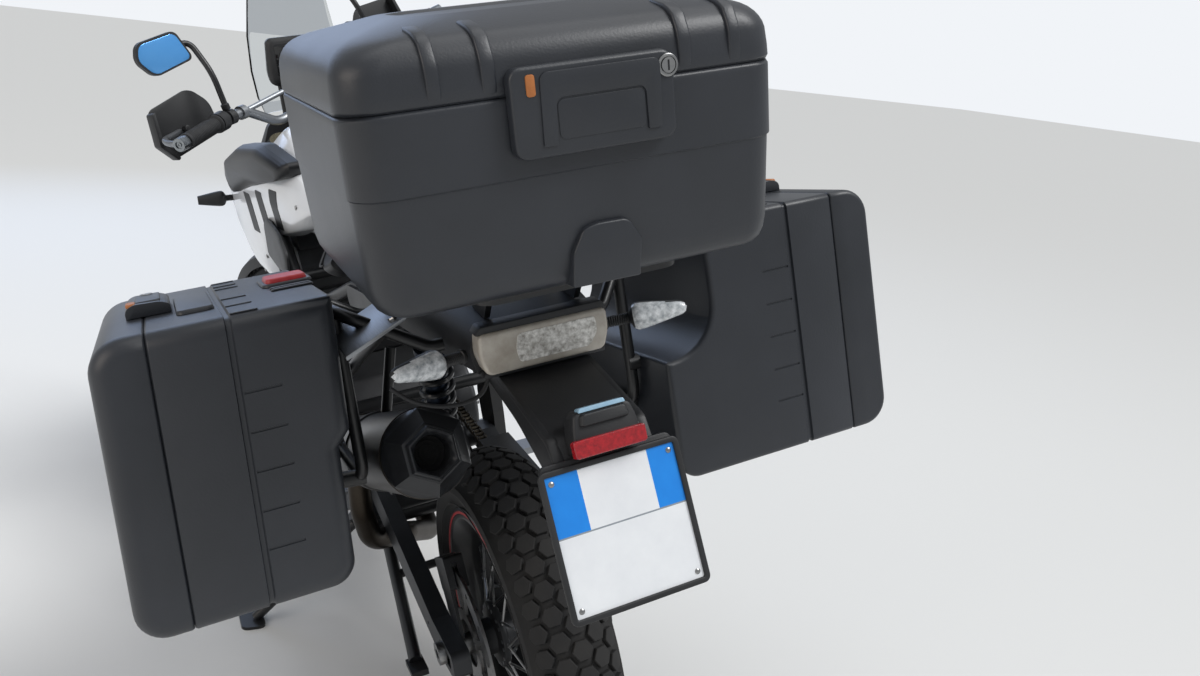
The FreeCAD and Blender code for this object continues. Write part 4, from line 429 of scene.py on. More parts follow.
def sideCaseShell(side):
    lower, upper = sideCase["inner"][side]
    points = [(lower, sideCase["floor"]), (sideCase["outer"], sideCase["floor"]),
              (sideCase["outer"], sideCase["top"]), (upper, sideCase["top"]),
              (upper, sideCase["shelf"] + sideCase["rise"][side]), (lower, sideCase["shelf"])]
    radii = [sideCase["footRound"], sideCase["cornerRound"], sideCase["cornerRound"], 0.0,
             *sideCase["hollow"][side]]
    front = sideCase["rear"] + sideCase["length"]
    bm = bmesh.new()
    slab(bm, "y", [(flared(side, x, z), z) for x, z in points], sideCase["rear"], front, radii, steps=9)
    ends = {sideCase["rear"], front}
    bmesh.ops.recalc_face_normals(bm, faces=bm.faces)
    around = [edge for edge in bm.edges
              if any(all(abs(vert.co.y - end) < 0.01 for vert in edge.verts) for end in ends)]
    bmesh.ops.bevel(bm, geom=around, offset=sideCase["edgeRoll"], segments=7, profile=0.5, affect="EDGES",
                    material=-1, clamp_overlap=True)
    soften(bm, 6.0, 3, 40, lambda edge: abs((edge.verts[0].co - edge.verts[1].co).normalized().y) > 0.9)
    return bm


def pressGroove(bm, side, x, width, depth):
    # a belt round the shell, pressed in along its middle
    for offset in (-width / 2, width / 2):
        cut(bm, *splayPlane(side, x + offset))
    for offset in (-width / 4, width / 4):
        at, way = splayPlane(side, x + offset)
        bm.normal_update()
        for vert in cut(bm, at, way):
            if vert.co.x > flared(side, sideCase["inner"][side][1], vert.co.z) + 5:
                vert.co -= vert.normal * depth


def sinkSeam(bm, side, x, inward):
    # the rim beside the lid's gap falls back, so the joint reads as two lines
    at, way = splayPlane(side, x)
    bm.normal_update()
    rim = [vert for vert in bm.verts if vert.is_boundary and abs((vert.co - at).dot(way)) < 0.05]
    for vert, normal in [(vert, vert.normal.copy()) for vert in rim]:
        vert.co -= normal * inward


def pressTicks(bm, side):
    # five short marks beside the belt on both ends of the body
    for height in sideCase["tickHeights"]:
        for offset in (-sideCase["tickWidth"] / 2, sideCase["tickWidth"] / 2):
            cut(bm, Vector((0, 0, height + offset)), Vector((0, 0, 1)))
    start = sideCase["beltAt"][side] - sideCase["beltWidth"] / 2 - 1.0
    at, way = splayPlane(side, start)
    cut(bm, at, way)
    at2, way2 = splayPlane(side, start - sideCase["tickLength"])
    cut(bm, at2, way2)
    marks = []
    for face in bm.faces:
        middle = face.calc_center_median()
        if abs(face.normal.y) > 0.98 and (middle - at).dot(way) < 0 < (middle - at2).dot(way2) \
                and any(abs(middle.z - height) < 1.0 for height in sideCase["tickHeights"]):
            marks.append(face)
    bmesh.ops.inset_individual(bm, faces=marks, thickness=0.5, depth=-sideCase["tickDepth"],
                               use_even_offset=True)


def sideHinges(side, forLid):
    radius = sideCase["hingeRadius"]
    x, z = flared(side, sideCase["seam"], sideCase["floor"]), sideCase["floor"] - radius + 1.5
    near, far = (x, x + 13) if forLid else (x - 13, x)
    bm = bmesh.new()
    for y in (sideCase["rear"] + 70, sideCase["rear"] + sideCase["length"] - 130):
        for low, high in knuckles[forLid]:
            bar(bm, (x, y + low, z), (x, y + high, z), radius, segments=20)
            slab(bm, "y", box2(near, far, z - 1, z + 10), y + low, y + high)
        if not forLid:
            bar(bm, (x, y, z), (x, y + 60, z), sideCase["pinRadius"])
    return bm


for side in (-1, 1):
    name, lidBody = sideName[side], "pannier_%s_lid" % sideName[side]
    body = sideCaseShell(side)
    lid = body.copy()
    for shell, toLid in ((body, -1), (lid, 1)):
        seam = sideCase["seam"] + toLid * sideCase["lidGap"] / 2
        at, way = splayPlane(side, seam)
        cut(shell, at, way * -toLid, True)
        cut(shell, *splayPlane(side, sideCase["seam"] + toLid * sideCase["seamWidth"]))
        if shell is body:
            pressGroove(body, side, sideCase["beltAt"][side], sideCase["beltWidth"], sideCase["beltDepth"])
            pressTicks(body, side)
        sinkSeam(shell, side, seam, sideCase["seamDepth"])
    piece = newPiece("sideCaseBody." + name, body, "caseAbs", "chassis", casePlace[side], sideCase["wall"])
    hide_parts("pannier_%s_body" % name)
    piece = newPiece("sideCaseLid." + name, lid, "caseAbs", lidBody, casePlace[side], sideCase["wall"])
    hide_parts("pannier_%s_lid" % name)
    newPiece("caseHinges." + name, sideHinges(side, False), "powderCoat", "chassis", casePlace[side])
    newPiece("lidHinges." + name, sideHinges(side, True), "powderCoat", lidBody, casePlace[side])
print("side cases done")

# top case
topCase = {
    "halfWidth": 250.0, "middleY": -272.0, "halfLength": 196.0, "wall": 4.0, "rear": -468.0,
    # rings by height, how far they draw in on the sides and at the ends, and corner radius
    "tub": ((1068, 34, 30, 24), (1069.5, 27, 23, 28), (1073, 20, 17, 31), (1079, 13.5, 12, 35),
            (1088, 9, 8.5, 39), (1102, 6, 6, 42), (1198.4, 2.4, 2.4, 42), (1200.6, 0.4, 0.4, 42),
            (1274, 0, 0, 42), (1279.6, 0, 0, 42), (1283.7, 1.8, 1.8, 42)),
    "lid": ((1284.3, 1.8, 1.8, 42), (1288.4, 0, 0, 42), (1300, 0.4, 0.4, 42), (1318.6, 2, 2, 42),
            (1325, 3.6, 3.6, 42), (1331, 6, 6, 43), (1336.5, 9.4, 9.2, 44), (1341.5, 14, 13.4, 45),
            (1345.8, 20, 19, 46), (1349, 27, 25, 48), (1350.6, 32, 30, 49), (1352, 36, 34, 50),
            (1366, 100, 96, 60)),
    "ribs": ((-163, -148), (-106, -90), (117, 133), (180, 195)), "ribProud": 4.2, "ribTop": (60, 1360.1),
    "ribInner": ((60, 1357.5), (34, 1352), (13, 1341), (2, 1318), (2, 1290)), "ribDepth": 3,
    "latch": (-84.0, 104.0, 1219.0, 1313.0), "latchProud": 16.0, "hingeY": -69.0, "hingeZ": 1284.0,
}


def topCaseShell(rows, closeLow, closeHigh):
    bm = bmesh.new()
    rings = [ring(bm, topCase["halfWidth"] - dx, topCase["halfLength"] - dy, radius, z, topCase["middleY"])
             for z, dx, dy, radius in rows]
    stack(bm, rings, closeLow, closeHigh)
    return bm


tub = topCaseShell(topCase["tub"], True, False)
piece = newPiece("topCaseTub", tub, "caseAbs", "chassis", wall=topCase["wall"], sharp=28)
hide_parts("top_case_body")
lid = topCaseShell(topCase["lid"], False, True)
plateau = [face for face in lid.faces if len(face.verts) > 8]
bmesh.ops.inset_region(lid, faces=plateau, thickness=16.0, depth=0.0)
bmesh.ops.inset_region(lid, faces=plateau, thickness=5.0, depth=-3.0)
piece = newPiece("topCaseLid", lid, "caseAbs", "top_case_lid", wall=topCase["wall"], sharp=28)
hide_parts("top_case_lid")

# ribs pressed out of the lid's roll, front and rear
def lidEnd(end, inward):
    return topCase["middleY"] + end * (topCase["halfLength"] - inward)


bm = bmesh.new()
proud, deep = topCase["ribProud"], topCase["ribDepth"]
for low, high in topCase["ribs"]:
    for end in (-1, 1):
        outer = [(lidEnd(end, dy - proud * min(1.0, i / 2)), z + (proud * 0.8 if dy > 12 else 0.0))
                 for i, (z, dx, dy, radius) in enumerate(topCase["lid"][1:-1])]
        outer.append((lidEnd(end, topCase["ribTop"][0]), topCase["ribTop"][1]))
        inner = [(lidEnd(end, dy + deep), z - deep) for dy, z in topCase["ribInner"]]
        slab(bm, "x", outer + inner, low, high)
soften(bm, 3.0, 3, 50)
newPiece("lidRibs", bm, "caseAbs", "top_case_lid")

# latch panel over the seam, with its folding handle, release tab and key barrel
face = topCase["rear"] - topCase["latchProud"]
# each: outline, from, to, corner radii, draw, softened edges, finish
latchParts = {
    "latchPanel": (box2(*topCase["latch"]), topCase["rear"] - 0.8, face, 14.0, 0.985, (3.5, 3, 60),
                   "caseAbs"),
    "latchHandle": ([(-53, 1231), (-37, 1231), (-35, 1279), (67, 1279), (68, 1233), (84, 1233), (86, 1306),
                     (-51, 1306)], face + 1.0, face - 2.2, [2, 2, 8, 8, 2, 2, 9, 9], 1.0, (1.2, 2, 60),
                    "caseAbs"),
    "latchInset": (box2(-34, 66, 1236, 1277), face + 1.0, face - 0.9, 7.0, 1.0, (0.8, 2, 60), "caseAbs"),
    "releaseTab": (box2(-66, -56, 1283, 1305), face + 1.0, face - 1.4, 3.0, 1.0, (0.8, 2, 60),
                   "amberPolyamide"),
    # the key slot is a thin glossy black bar on the barrel's face, painted shade standing in for the keyway's hole
    "keySlotPaintedShade": (box2(94, 96, 1290.5, 1301.5), face - 2.6, face - 3.0, 0.0, 1.0, None, "displayGlass"),
}
for name, (outline, near, far, radii, draw, edge, material) in latchParts.items():
    slabs(name, [("y", outline, near, far, radii, draw)], edge, material, "top_case_lid",
          slotName="case_plastic")
bm = bmesh.new()
turned(bm, ((0, 0), (0, 12), (3, 12), (3.6, 11.2), (3.6, 9.4), (2.2, 9.0), (2.2, 8.4), (4.2, 8.0), (4.4, 0)),
       (95, face + 1.6, 1296), (0, -1, 0))
newPiece("keyBarrel", bm, "groundSteel", "top_case_lid", slotName="case_plastic")

# a raised tab at the foot of the tub, and the lid's hinges at its front
slabs("tubTab", [("y", [(-31, 1069), (54, 1068), (59, 1111), (44, 1138), (1, 1139), (-13, 1134), (-27, 1109)],
                  -430, -470.5, [0, 0, 3, 8, 8, 5, 3], 0.97)], (2.5, 3, 40), "caseAbs")
y, z = topCase["hingeY"], topCase["hingeZ"]
for forLid, name, body in ((False, "tubKnuckles", "chassis"), (True, "topLidKnuckles", "top_case_lid")):
    near, far = (z + 1, z + 14) if forLid else (z - 14, z - 1)
    bm = bmesh.new()
    for x in (-150.0, 90.0):
        for low, high in knuckles[forLid]:
            bar(bm, (x + low, y, z), (x + high, y, z), 6.0, segments=20)
            slab(bm, "x", box2(y - 9, y, near, far), x + low, x + high)
        if not forLid:
            bar(bm, (x, y, z), (x + 60, y, z), 3.0)
    newPiece(name, bm, "powderCoat", body)
print("top case done")

# tyres: a smooth carcass with a honeycomb of tread blocks
tyres = {
    "rear": {"centre": (0.0, 0.0, 321.0), "radius": 321.0, "half": 75.0, "bead": 54.0, "rimRadius": 216.3,
             "columns": 5, "spacing": 31.0, "around": 50, "blockHalf": (15.6, 17.6), "groove": 7.0},
    "front": {"centre": (0.0, 1578.0, 348.0), "radius": 348.0, "half": 46.0, "bead": 30.0,
              "rimRadius": 267.3, "columns": 5, "spacing": 20.0, "around": 66, "blockHalf": (9.6, 14.2),
              "groove": 5.5},
}


def carcass(tyre):
    # bead, bulging sidewall and shoulder outside; the crown lies one groove lower
    def onCrown(reach, degrees):
        angle = math.radians(degrees)
        return reach * math.sin(angle), tyre["radius"] - tyre["half"] + reach * math.cos(angle)

    profile = [(tyre["bead"], tyre["rimRadius"]), (tyre["bead"] + 1.5, tyre["rimRadius"] + 11)]
    low, high = Vector((*profile[1], 0)), Vector((*onCrown(tyre["half"], 78), 0))
    for share, bulge in ((0.3, 1.6), (0.6, 1.8), (0.85, 0.6)):
        at = low.lerp(high, share)
        profile.append((at.x + bulge, at.y))
    profile += [onCrown(tyre["half"], degrees) for degrees in (78, 70)]
    profile += [onCrown(tyre["half"] - tyre["groove"], degrees) for degrees in (62, 50, 38, 25, 12, 0)]
    profile += [(-x, radius) for x, radius in profile[-2::-1]]
    bm = bmesh.new()
    turned(bm, profile, tyre["centre"], (1, 0, 0), 120)
    return bm


def treadBlock(tyre):
    across, along = tyre["blockHalf"]
    bm = bmesh.new()
    bmesh.ops.create_circle(bm, cap_ends=True, segments=6, radius=1.0,
                            matrix=Matrix.Rotation(math.radians(30), 4, "Z"))
    bmesh.ops.scale(bm, verts=bm.verts, vec=(across / math.cos(math.radians(30)), along, 1.0))
    grown = bmesh.ops.extrude_face_region(bm, geom=list(bm.faces))["geom"]
    high = vertsOf(grown)
    bmesh.ops.translate(bm, verts=high, vec=(0, 0, tyre["groove"] + 1.0))
    bmesh.ops.scale(bm, verts=high, vec=(0.95, 0.96, 1.0))
    cap = [item for item in grown if isinstance(item, bmesh.types.BMFace)]
    bmesh.ops.inset_region(bm, faces=cap, thickness=1.2, depth=0.0)
    for vert in cap[0].verts:
        vert.co.z += 0.9
    bmesh.ops.poke(bm, faces=cap)
    mesh = bpy.data.meshes.new("treadBlock")
    bm.to_mesh(mesh)
    bm.free()
    return mesh


def tread(tyre):
    # every block is laid round the crown; columns are offset by half a block
    block = treadBlock(tyre)
    centre, floor = Vector(tyre["centre"]), tyre["radius"] - tyre["half"]
    bm = bmesh.new()
    count = len(block.vertices)
    for column in range(tyre["columns"]):
        side = (column - (tyre["columns"] - 1) / 2) * tyre["spacing"]
        for step in range(tyre["around"]):
            turnBy = math.tau * (step + 0.5 * (column % 2)) / tyre["around"]
            bm.from_mesh(block)
            bm.verts.ensure_lookup_table()
            for vert in bm.verts[-count:]:
                lean = (side + vert.co.x) / tyre["half"]
                out = tyre["half"] - tyre["groove"] - 1.9 + vert.co.z
                radius = floor + out * math.cos(lean)
                around = turnBy + vert.co.y / tyre["radius"]
                vert.co = centre + Vector((out * math.sin(lean), radius * math.sin(around),
                                           radius * math.cos(around)))
    bpy.data.meshes.remove(block)
    return bm


for end, body, place in (("rear", "rear_wheel", parked), ("front", "front_wheel", steered)):
    piece = newPiece("tyreCarcass." + end, carcass(tyres[end]), "tyreRubber", body, place)
    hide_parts(end + "_tyre")
    newPiece("tyreTread." + end, tread(tyres[end]), "tyreRubber", body, place, sharp=25)
    tyre = tyres[end]
    for side in (-1, 1):
        bm = bmesh.new()
        x, z = tyre["half"] * 0.93 * side, tyre["radius"] - tyre["half"] * 1.12
        turned(bm, ((0, z), (1.4 * side, z + 0.8), (1.4 * side, z + 2.2), (0, z + 3)),
               Vector(tyre["centre"]) + Vector((x - 0.6 * side, 0, 0)), (1, 0, 0), 96)
        newPiece("sidewallBead.%s.%s" % (end, sideName[side]), bm, "tyreRubber", body, place)
print("tyres done")

# number plate: two blue bands above a bare white field, in a black surround
plate = {"top": (0.0, -447.0, 849.0), "foot": (0.0, -516.0, 677.0), "half": 93.0, "lip": 7.5, "proud": 7.0,
         "bands": (-43.0, 49.0), "divider": -82.0}
plateTop, plateFoot = Vector(plate["top"]), Vector(plate["foot"])
plateUp = (plateTop - plateFoot).normalized()
plateTall = (plateTop - plateFoot).length
plateOut = Vector((1, 0, 0)).cross(plateUp)
plateTurn = Matrix((Vector((1, 0, 0)), plateUp, plateOut)).transposed().to_4x4()
onPlate = parked @ (Matrix.Translation(plateTop) @ plateTurn)

half, tall, lip = plate["half"], plateTall, plate["lip"]
bm = bmesh.new()
face = outlineFace(bm, box2(-half, half, -tall, 0), 9.0, axisPlaces["z"](0.0))
bm.normal_update()
bmesh.ops.inset_region(bm, faces=[face], thickness=lip, use_boundary=True, use_even_offset=True)
bmesh.ops.delete(bm, geom=[face], context="FACES_ONLY")
grown = bmesh.ops.extrude_face_region(bm, geom=list(bm.faces))["geom"]
bmesh.ops.translate(bm, verts=vertsOf(grown), vec=(0, 0, plate["proud"]))
soften(bm, 1.6, 3, 50)
piece = newPiece("plateSurround", bm, "blackPolyamide", place=onPlate, slotName="plate_white")
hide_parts("number_plate")
bm = bmesh.new()
outlineFace(bm, box2(lip - 1 - half, half - lip + 1, lip - 1 - tall, 1 - lip), 6.0, axisPlaces["z"](4.0))
for x in plate["bands"]:
    cut(bm, Vector((x, 0, 0)), Vector((1, 0, 0)))
for y in (plate["divider"] - 1.0, plate["divider"] + 1.0):
    cut(bm, Vector((0, y, 0)), Vector((0, 1, 0)))
for face in bm.faces:
    middle = face.calc_center_median()
    if abs(middle.y - plate["divider"]) < 1.0:
        face.material_index = 2
    elif middle.y > plate["divider"] and not plate["bands"][0] < middle.x < plate["bands"][1]:
        face.material_index = 1
sheet = list(bm.faces)
bmesh.ops.extrude_face_region(bm, geom=sheet)
bmesh.ops.translate(bm, verts=list({vert for face in sheet for vert in face.verts}), vec=(0, 0, -2.5))
newPiece("plateSheet", bm, ("plateWhite", "plateBlue", "plateGroove"), place=onPlate)
bm = bmesh.new()
for x in (-78, 78):
    for y in (-16, -tall + 16):
        turned(bm, ((-2, 3.6), (0.6, 3.6), (1.4, 2.6), (1.7, 0)), (x, y, 4.0), (0, 0, 1), 16)
newPiece("plateScrews", bm, "groundSteel", place=onPlate, slotName="plate_white")

# tail: mudguard tray, plate lamp, reflector and lamp lens
rearEnd = {"tray": [(-150, 901), (-150, 880), (-300, 850), (-420, 800), (-484, 690), (-504, 694),
                    (-443, 846), (-425, 876), (-262, 904.6)],
           "trayHalf": 61.5, "trayRounds": [0, 8, 20, 20, 0, 0, 0, 10, 0],
           "edge": [(-250, 903), (-270, 903), (-424, 876), (-443, 850), (-436, 846), (-415, 866),
                    (-262, 893)],
           "edgeFrom": 52, "edgeTo": 66, "edgeRounds": [0, 2, 6, 3, 3, 8, 2],
           "lens": [(-84, 912), (84, 912), (92, 940), (90, 970), (-90, 970), (-92, 940)],
           "prisms": [(-38, 922), (62, 922), (74, 940), (72, 962), (-38, 962), (-42, 940)],
           "frameTop": [(-94, 968.5), (93, 968.5), (86, 979), (-86, 979)],
           "frameFoot": [(-88, 906), (88, 906), (86, 913.5), (-86, 913.5)]}
piece = slabs("mudguardTray", [("x", rearEnd["tray"], -rearEnd["trayHalf"], rearEnd["trayHalf"],
                                rearEnd["trayRounds"])], (5.0, 3, 60), "blackPolyamide")
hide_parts("rear_mudguard")
slabs("mudguardEdges", [("x", rearEnd["edge"], side * rearEnd["edgeFrom"], side * rearEnd["edgeTo"],
                         rearEnd["edgeRounds"]) for side in (-1, 1)], (3.0, 2, 50), "blackPolyamide")
slabs("plateBoard", [("z", box2(-88, 88, -181, 6), -8.0, -0.3, 10.0)]
      + [("z", box2(x - 7, x + 7, -150, -30), -12.0, -7.5, 5.0) for x in (-40, 40)],
      (1.5, 2, 50), "blackPolyamide", place=onPlate)
# each: outline, from, to, corner radii, draw, softened edges, finish
plateParts = {
    "plateLampHood": ([(-46, 8), (46, 8), (46, 34), (40, 60), (-38, 60), (-44, 34)], -10.0, 18.0,
                      [4, 4, 8, 8, 8, 8], 0.94, (3.0, 3, 40), "blackPolyamide"),
    "plateLampBlock": ([(-34, 40), (36, 40), (33, 56), (-31, 56)], 15.0, 24.0, 4.0, 0.86, (1.5, 2, 40),
                       "blackPolyamide"),
    "plateLampLens": ([(-30, 57), (32, 57), (30, 62.5), (-28, 62.5)], 3.0, 20.0, 2.0, 1.0, (0.8, 2, 40),
                      "lensBlue"),
    "rearReflector": ([(-48, 5.0), (48, 5.0), (49, 27), (-48, 27)], 15.0, 25.5, 4.0, 0.97, (1.5, 3, 40),
                      "reflectorRed"),
}
for name, (outline, near, far, radii, draw, edge, material) in plateParts.items():
    slabs(name, [("z", outline, near, far, radii, draw)], edge, material, place=onPlate)
piece = slabs("tailLens", [("y", rearEnd["lens"], -250.3, -278.6, 8.0)],
              (5.0, 4, 60, lambda edge: all(vert.co.y < -270 for vert in edge.verts)), "lensFrosted")
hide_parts("tail_lamp")
slabs("tailLensPrisms", [("y", rearEnd["prisms"], -270.0, -279.4, 5.0)], (0.6, 1, 60), "lensPrisms")
slabs("tailLensFrame", [("y", rearEnd["frameTop"], -248.0, -274.0, 3.0),
                        ("y", rearEnd["frameFoot"], -248.0, -270.0, 3.0)], (2.0, 2, 40), "blackPolyamide")
print("tail done")

# indicators: pointed clear lamps on ribbed stalks
indicator = {"rear": ((102.2, -236, 932), (209, -285, 947)), "front": ((213.4, 1300, 905), (318, 1304, 912)),
             "ribs": 9, "ribPitch": 3.2, "rib": ((0, 7.0), (1.0, 8.0), (2.0, 8.0), (3.0, 7.0))}
stalks, lamps = bmesh.new(), bmesh.new()
for end in ("rear", "front"):
    for side in (-1, 1):
        root, tip = [Vector((side * x, y, z)) for x, y, z in indicator[end]]
        way, length = (tip - root).normalized(), (tip - root).length
        ribs = [(8 + i * indicator["ribPitch"] + along, radius) for i in range(indicator["ribs"])
                for along, radius in indicator["rib"]]
        stalk = [(0, 0), (0, 10), (5, 10), (6, 8), *ribs, (38, 9), (40, 12), (41, 12), (42, 0)]
        turned(stalks, stalk, root, way, 20)
        profile = [(40, 0), (40, 13), (43, 17), (48, 19.4), (56, 19.2), (72, 16.8), (90, 13.6), (106, 10.8),
                   (length - 7, 9.4), (length - 2.5, 6.4), (length, 0)]
        others = set(lamps.faces)
        turned(lamps, profile, root, way, 28)
        lamps.normal_update()
        for face in lamps.faces:
            if face not in others:
                toward = face.calc_center_median() - root
                outward = toward - way * toward.dot(way)
                back = outward.y > -2 if end == "rear" else outward.y < 2
                face.material_index = 1 if back or toward.dot(way) < 43 else 0
piece = newPiece("indicatorStalks", stalks, "blackPolyamide")
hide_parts("indicators")
newPiece("indicatorLamps", lamps, ("lensFacet", "blackPolyamide"))
print("indicators done")

# drive chain: side plates and rollers at every pitch along the loop
chain = {"pitch": 15.875, "line": 98.0, "half": 11.0, "frontCentre": (650.0, 440.0),
         "rearCentre": (0.0, 321.0), "frontTeeth": 17, "rearTeeth": 42, "plateHalf": 5.8, "plateThick": 2.0,
         "plateEnd": 5.4, "rollerRadius": 4.6, "insets": (4.6, 2.2)}


def chainPath():
    # stations of (y, z) round both sprockets, one for each pin
    radii = [chain["pitch"] / (2 * math.sin(math.pi / chain[key])) for key in ("frontTeeth", "rearTeeth")]
    front, rear = Vector(chain["frontCentre"]), Vector(chain["rearCentre"])
    span = front - rear
    base, open_ = math.atan2(span.y, span.x), math.acos((radii[1] - radii[0]) / span.length)
    path = []
    for centre, radius, first, last in ((rear, radii[1], base + open_, base + math.tau - open_),
                                        (front, radii[0], base - open_, base + open_)):
        for i in range(41):
            a = first + (last - first) * i / 40
            path.append(centre + Vector((math.cos(a), math.sin(a))) * radius)
    path.append(path[0])
    total = sum((b - a).length for a, b in zip(path, path[1:]))
    count = 2 * round(total / chain["pitch"] / 2)
    stations, walked, index = [], 0.0, 0
    for i in range(count):
        want = total * i / count
        while walked + (path[index + 1] - path[index]).length < want:
            walked += (path[index + 1] - path[index]).length
            index += 1
        run = path[index + 1] - path[index]
        stations.append(path[index] + run * ((want - walked) / run.length))
    return stations


bm = bmesh.new()
stations = chainPath()
for i, here in enumerate(stations):
    there = stations[(i + 1) % len(stations)]
    way = (there - here).normalized()
    across, beyond = Vector((-way.y, way.x)) * chain["plateHalf"], way * chain["plateEnd"]
    ends = [here - beyond - across, there + beyond - across, there + beyond + across, here - beyond + across]
    for side in (-1, 1):
        inner = chain["line"] + side * (chain["half"] - chain["insets"][i % 2])
        slab(bm, "x", [(p.x, p.y) for p in ends], inner, inner + side * chain["plateThick"],
             chain["rollerRadius"], steps=3)
    low, high = chain["line"] - chain["half"] + 0.6, chain["line"] + chain["half"] - 0.6
    bar(bm, (low, here.x, here.y), (high, here.x, here.y), chain["rollerRadius"], segments=10)
piece = newPiece("chainLinks", bm, "chainSteel", sharp=30)
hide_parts("drive_chain")
print("chain done:", len(stations), "links")

# bodywork: sections along the machine, joined and smoothed
def smoothRows(rows, between=4):
    # extra sections on a smooth curve through the given ones
    made = []
    for i in range(len(rows) - 1):
        before, after = rows[max(i - 1, 0)], rows[min(i + 2, len(rows) - 1)]
        for k in range(between):
            t = k / between
            weights = (-0.5 * t + t * t - 0.5 * t ** 3, 1 - 2.5 * t * t + 1.5 * t ** 3,
                       0.5 * t + 2 * t * t - 1.5 * t ** 3, -0.5 * t * t + 0.5 * t ** 3)
            columns = zip(before, rows[i], rows[i + 1], after)
            made.append(tuple(sum(w * value for w, value in zip(weights, column)) for column in columns))
    return made + [rows[-1]]


def bodyLoft(bm, rows, rounds, steps=5, between=4):
    # rows: place along the machine, floor, shoulder and top heights, half widths at each
    sections = []
    for y, low, shoulder, top, halfLow, halfWide, halfTop in smoothRows(rows, between):
        points = [(-halfLow, low), (halfLow, low), (halfWide, shoulder), (halfTop, top), (-halfTop, top),
                  (-halfWide, shoulder)]
        radii = [rounds[i] for i in (0, 0, 1, 2, 2, 1)]
        sections.append(outlineLoop(bm, points, radii, axisPlaces["y"](y), steps))
    stack(bm, sections, True, True)


def bentPath(points, bend, steps=6):
    # straight runs joined by arcs
    points = [Vector(point) for point in points]
    path = [points[0]]
    for before, at, after in zip(points, points[1:], points[2:]):
        inWay, outWay = (before - at), (after - at)
        reach = min(bend, inWay.length * 0.48, outWay.length * 0.48)
        first, last = at + inWay.normalized() * reach, at + outWay.normalized() * reach
        for i in range(steps + 1):
            t = i / steps
            path.append(first * (1 - t) ** 2 + at * 2 * t * (1 - t) + last * t * t)
    return path + [points[-1]]


def circleLoop(bm, segments, radius, matrix):
    others = set(bm.edges)
    bmesh.ops.create_circle(bm, cap_ends=False, segments=segments, radius=radius, matrix=matrix)
    return [edge for edge in bm.edges if edge not in others]


def tube(bm, points, radius, bend=20.0, segments=14):
    path = bentPath(points, bend)
    path = [p for i, p in enumerate(path) if i == 0 or (p - path[i - 1]).length > 0.05]
    loops = []
    side = (path[1] - path[0]).orthogonal().normalized()
    for i, point in enumerate(path):
        way = (path[min(i + 1, len(path) - 1)] - path[max(i - 1, 0)]).normalized()
        side = (side - way * side.dot(way)).normalized()
        turn = Matrix((side, way.cross(side), way)).transposed().to_4x4()
        loops.append(circleLoop(bm, segments, radius, Matrix.Translation(point) @ turn))
    stack(bm, loops, True, True)


def domed(bm, axis, points, low, rises, radii):
    # a panel whose face climbs in steps towards its middle: each step is (drawn in, level)
    far = slab(bm, axis, points, low, rises[0][1], radii)
    face = next(face for face in bm.faces if set(face.verts) == set(far))
    spans = [max(v.co[i] for v in far) - min(v.co[i] for v in far) for i in range(3)]
    for inward, level, before in [(b[0], b[1], a[1]) for a, b in zip(rises, rises[1:])]:
        middle = face.calc_center_bounds()
        grown = bmesh.ops.extrude_face_region(bm, geom=[face])["geom"]
        face = next(item for item in grown if isinstance(item, bmesh.types.BMFace))
        size = Vector([1 - 2 * inward / span if span > 0.01 else 1.0 for span in spans])
        bmesh.ops.scale(bm, verts=list(face.verts), vec=size, space=Matrix.Translation(-middle))
        bmesh.ops.translate(bm, verts=list(face.verts), vec=axisWays[axis] * (level - before))
    return face


# tank shell with its cap and filler ring
tank = {"rows": ((1110, 988, 1030, 1066, 100, 172, 96), (1060, 972, 1015, 1098, 132, 176, 100),
                 (960, 925, 985, 1088, 138, 176, 96), (860, 885, 950, 1020, 130, 160, 84),
                 (770, 880, 912, 948, 88, 104, 64)), "cap": ((0, 985, 1081), (0, 975, 1112)),
        "spine": ((1090, 1052, 1075, 1092, 60, 66, 40), (1040, 1060, 1085, 1101.5, 64, 72, 46),
                  (960, 1050, 1075, 1091, 62, 70, 44), (860, 985, 1008, 1025, 52, 60, 38),
                  (790, 925, 945, 961, 40, 46, 30)),
        "capProfile": ((0, 0), (0, 46), (18, 46), (21, 43), (24, 43), (30, 41), (33, 36), (34, 20), (32, 17),
                       (32, 0))}
bm = bmesh.new()
bodyLoft(bm, tank["rows"], (14, 34, 30), 6)
piece = newPiece("tankShell", bm, "whiteLacquer", sharp=50)
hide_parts("tank_cover")
bm = bmesh.new()
bodyLoft(bm, tank["spine"], (3, 8, 14))
newPiece("tankSpine", bm, "blackPolyamide", sharp=45)
start, end = [Vector(point) for point in tank["cap"]]
bm = bmesh.new()
turned(bm, tank["capProfile"], start, (end - start).normalized(), 40)
newPiece("fuelCap", bm, "brushedAluminium", slotName="black_plastic")

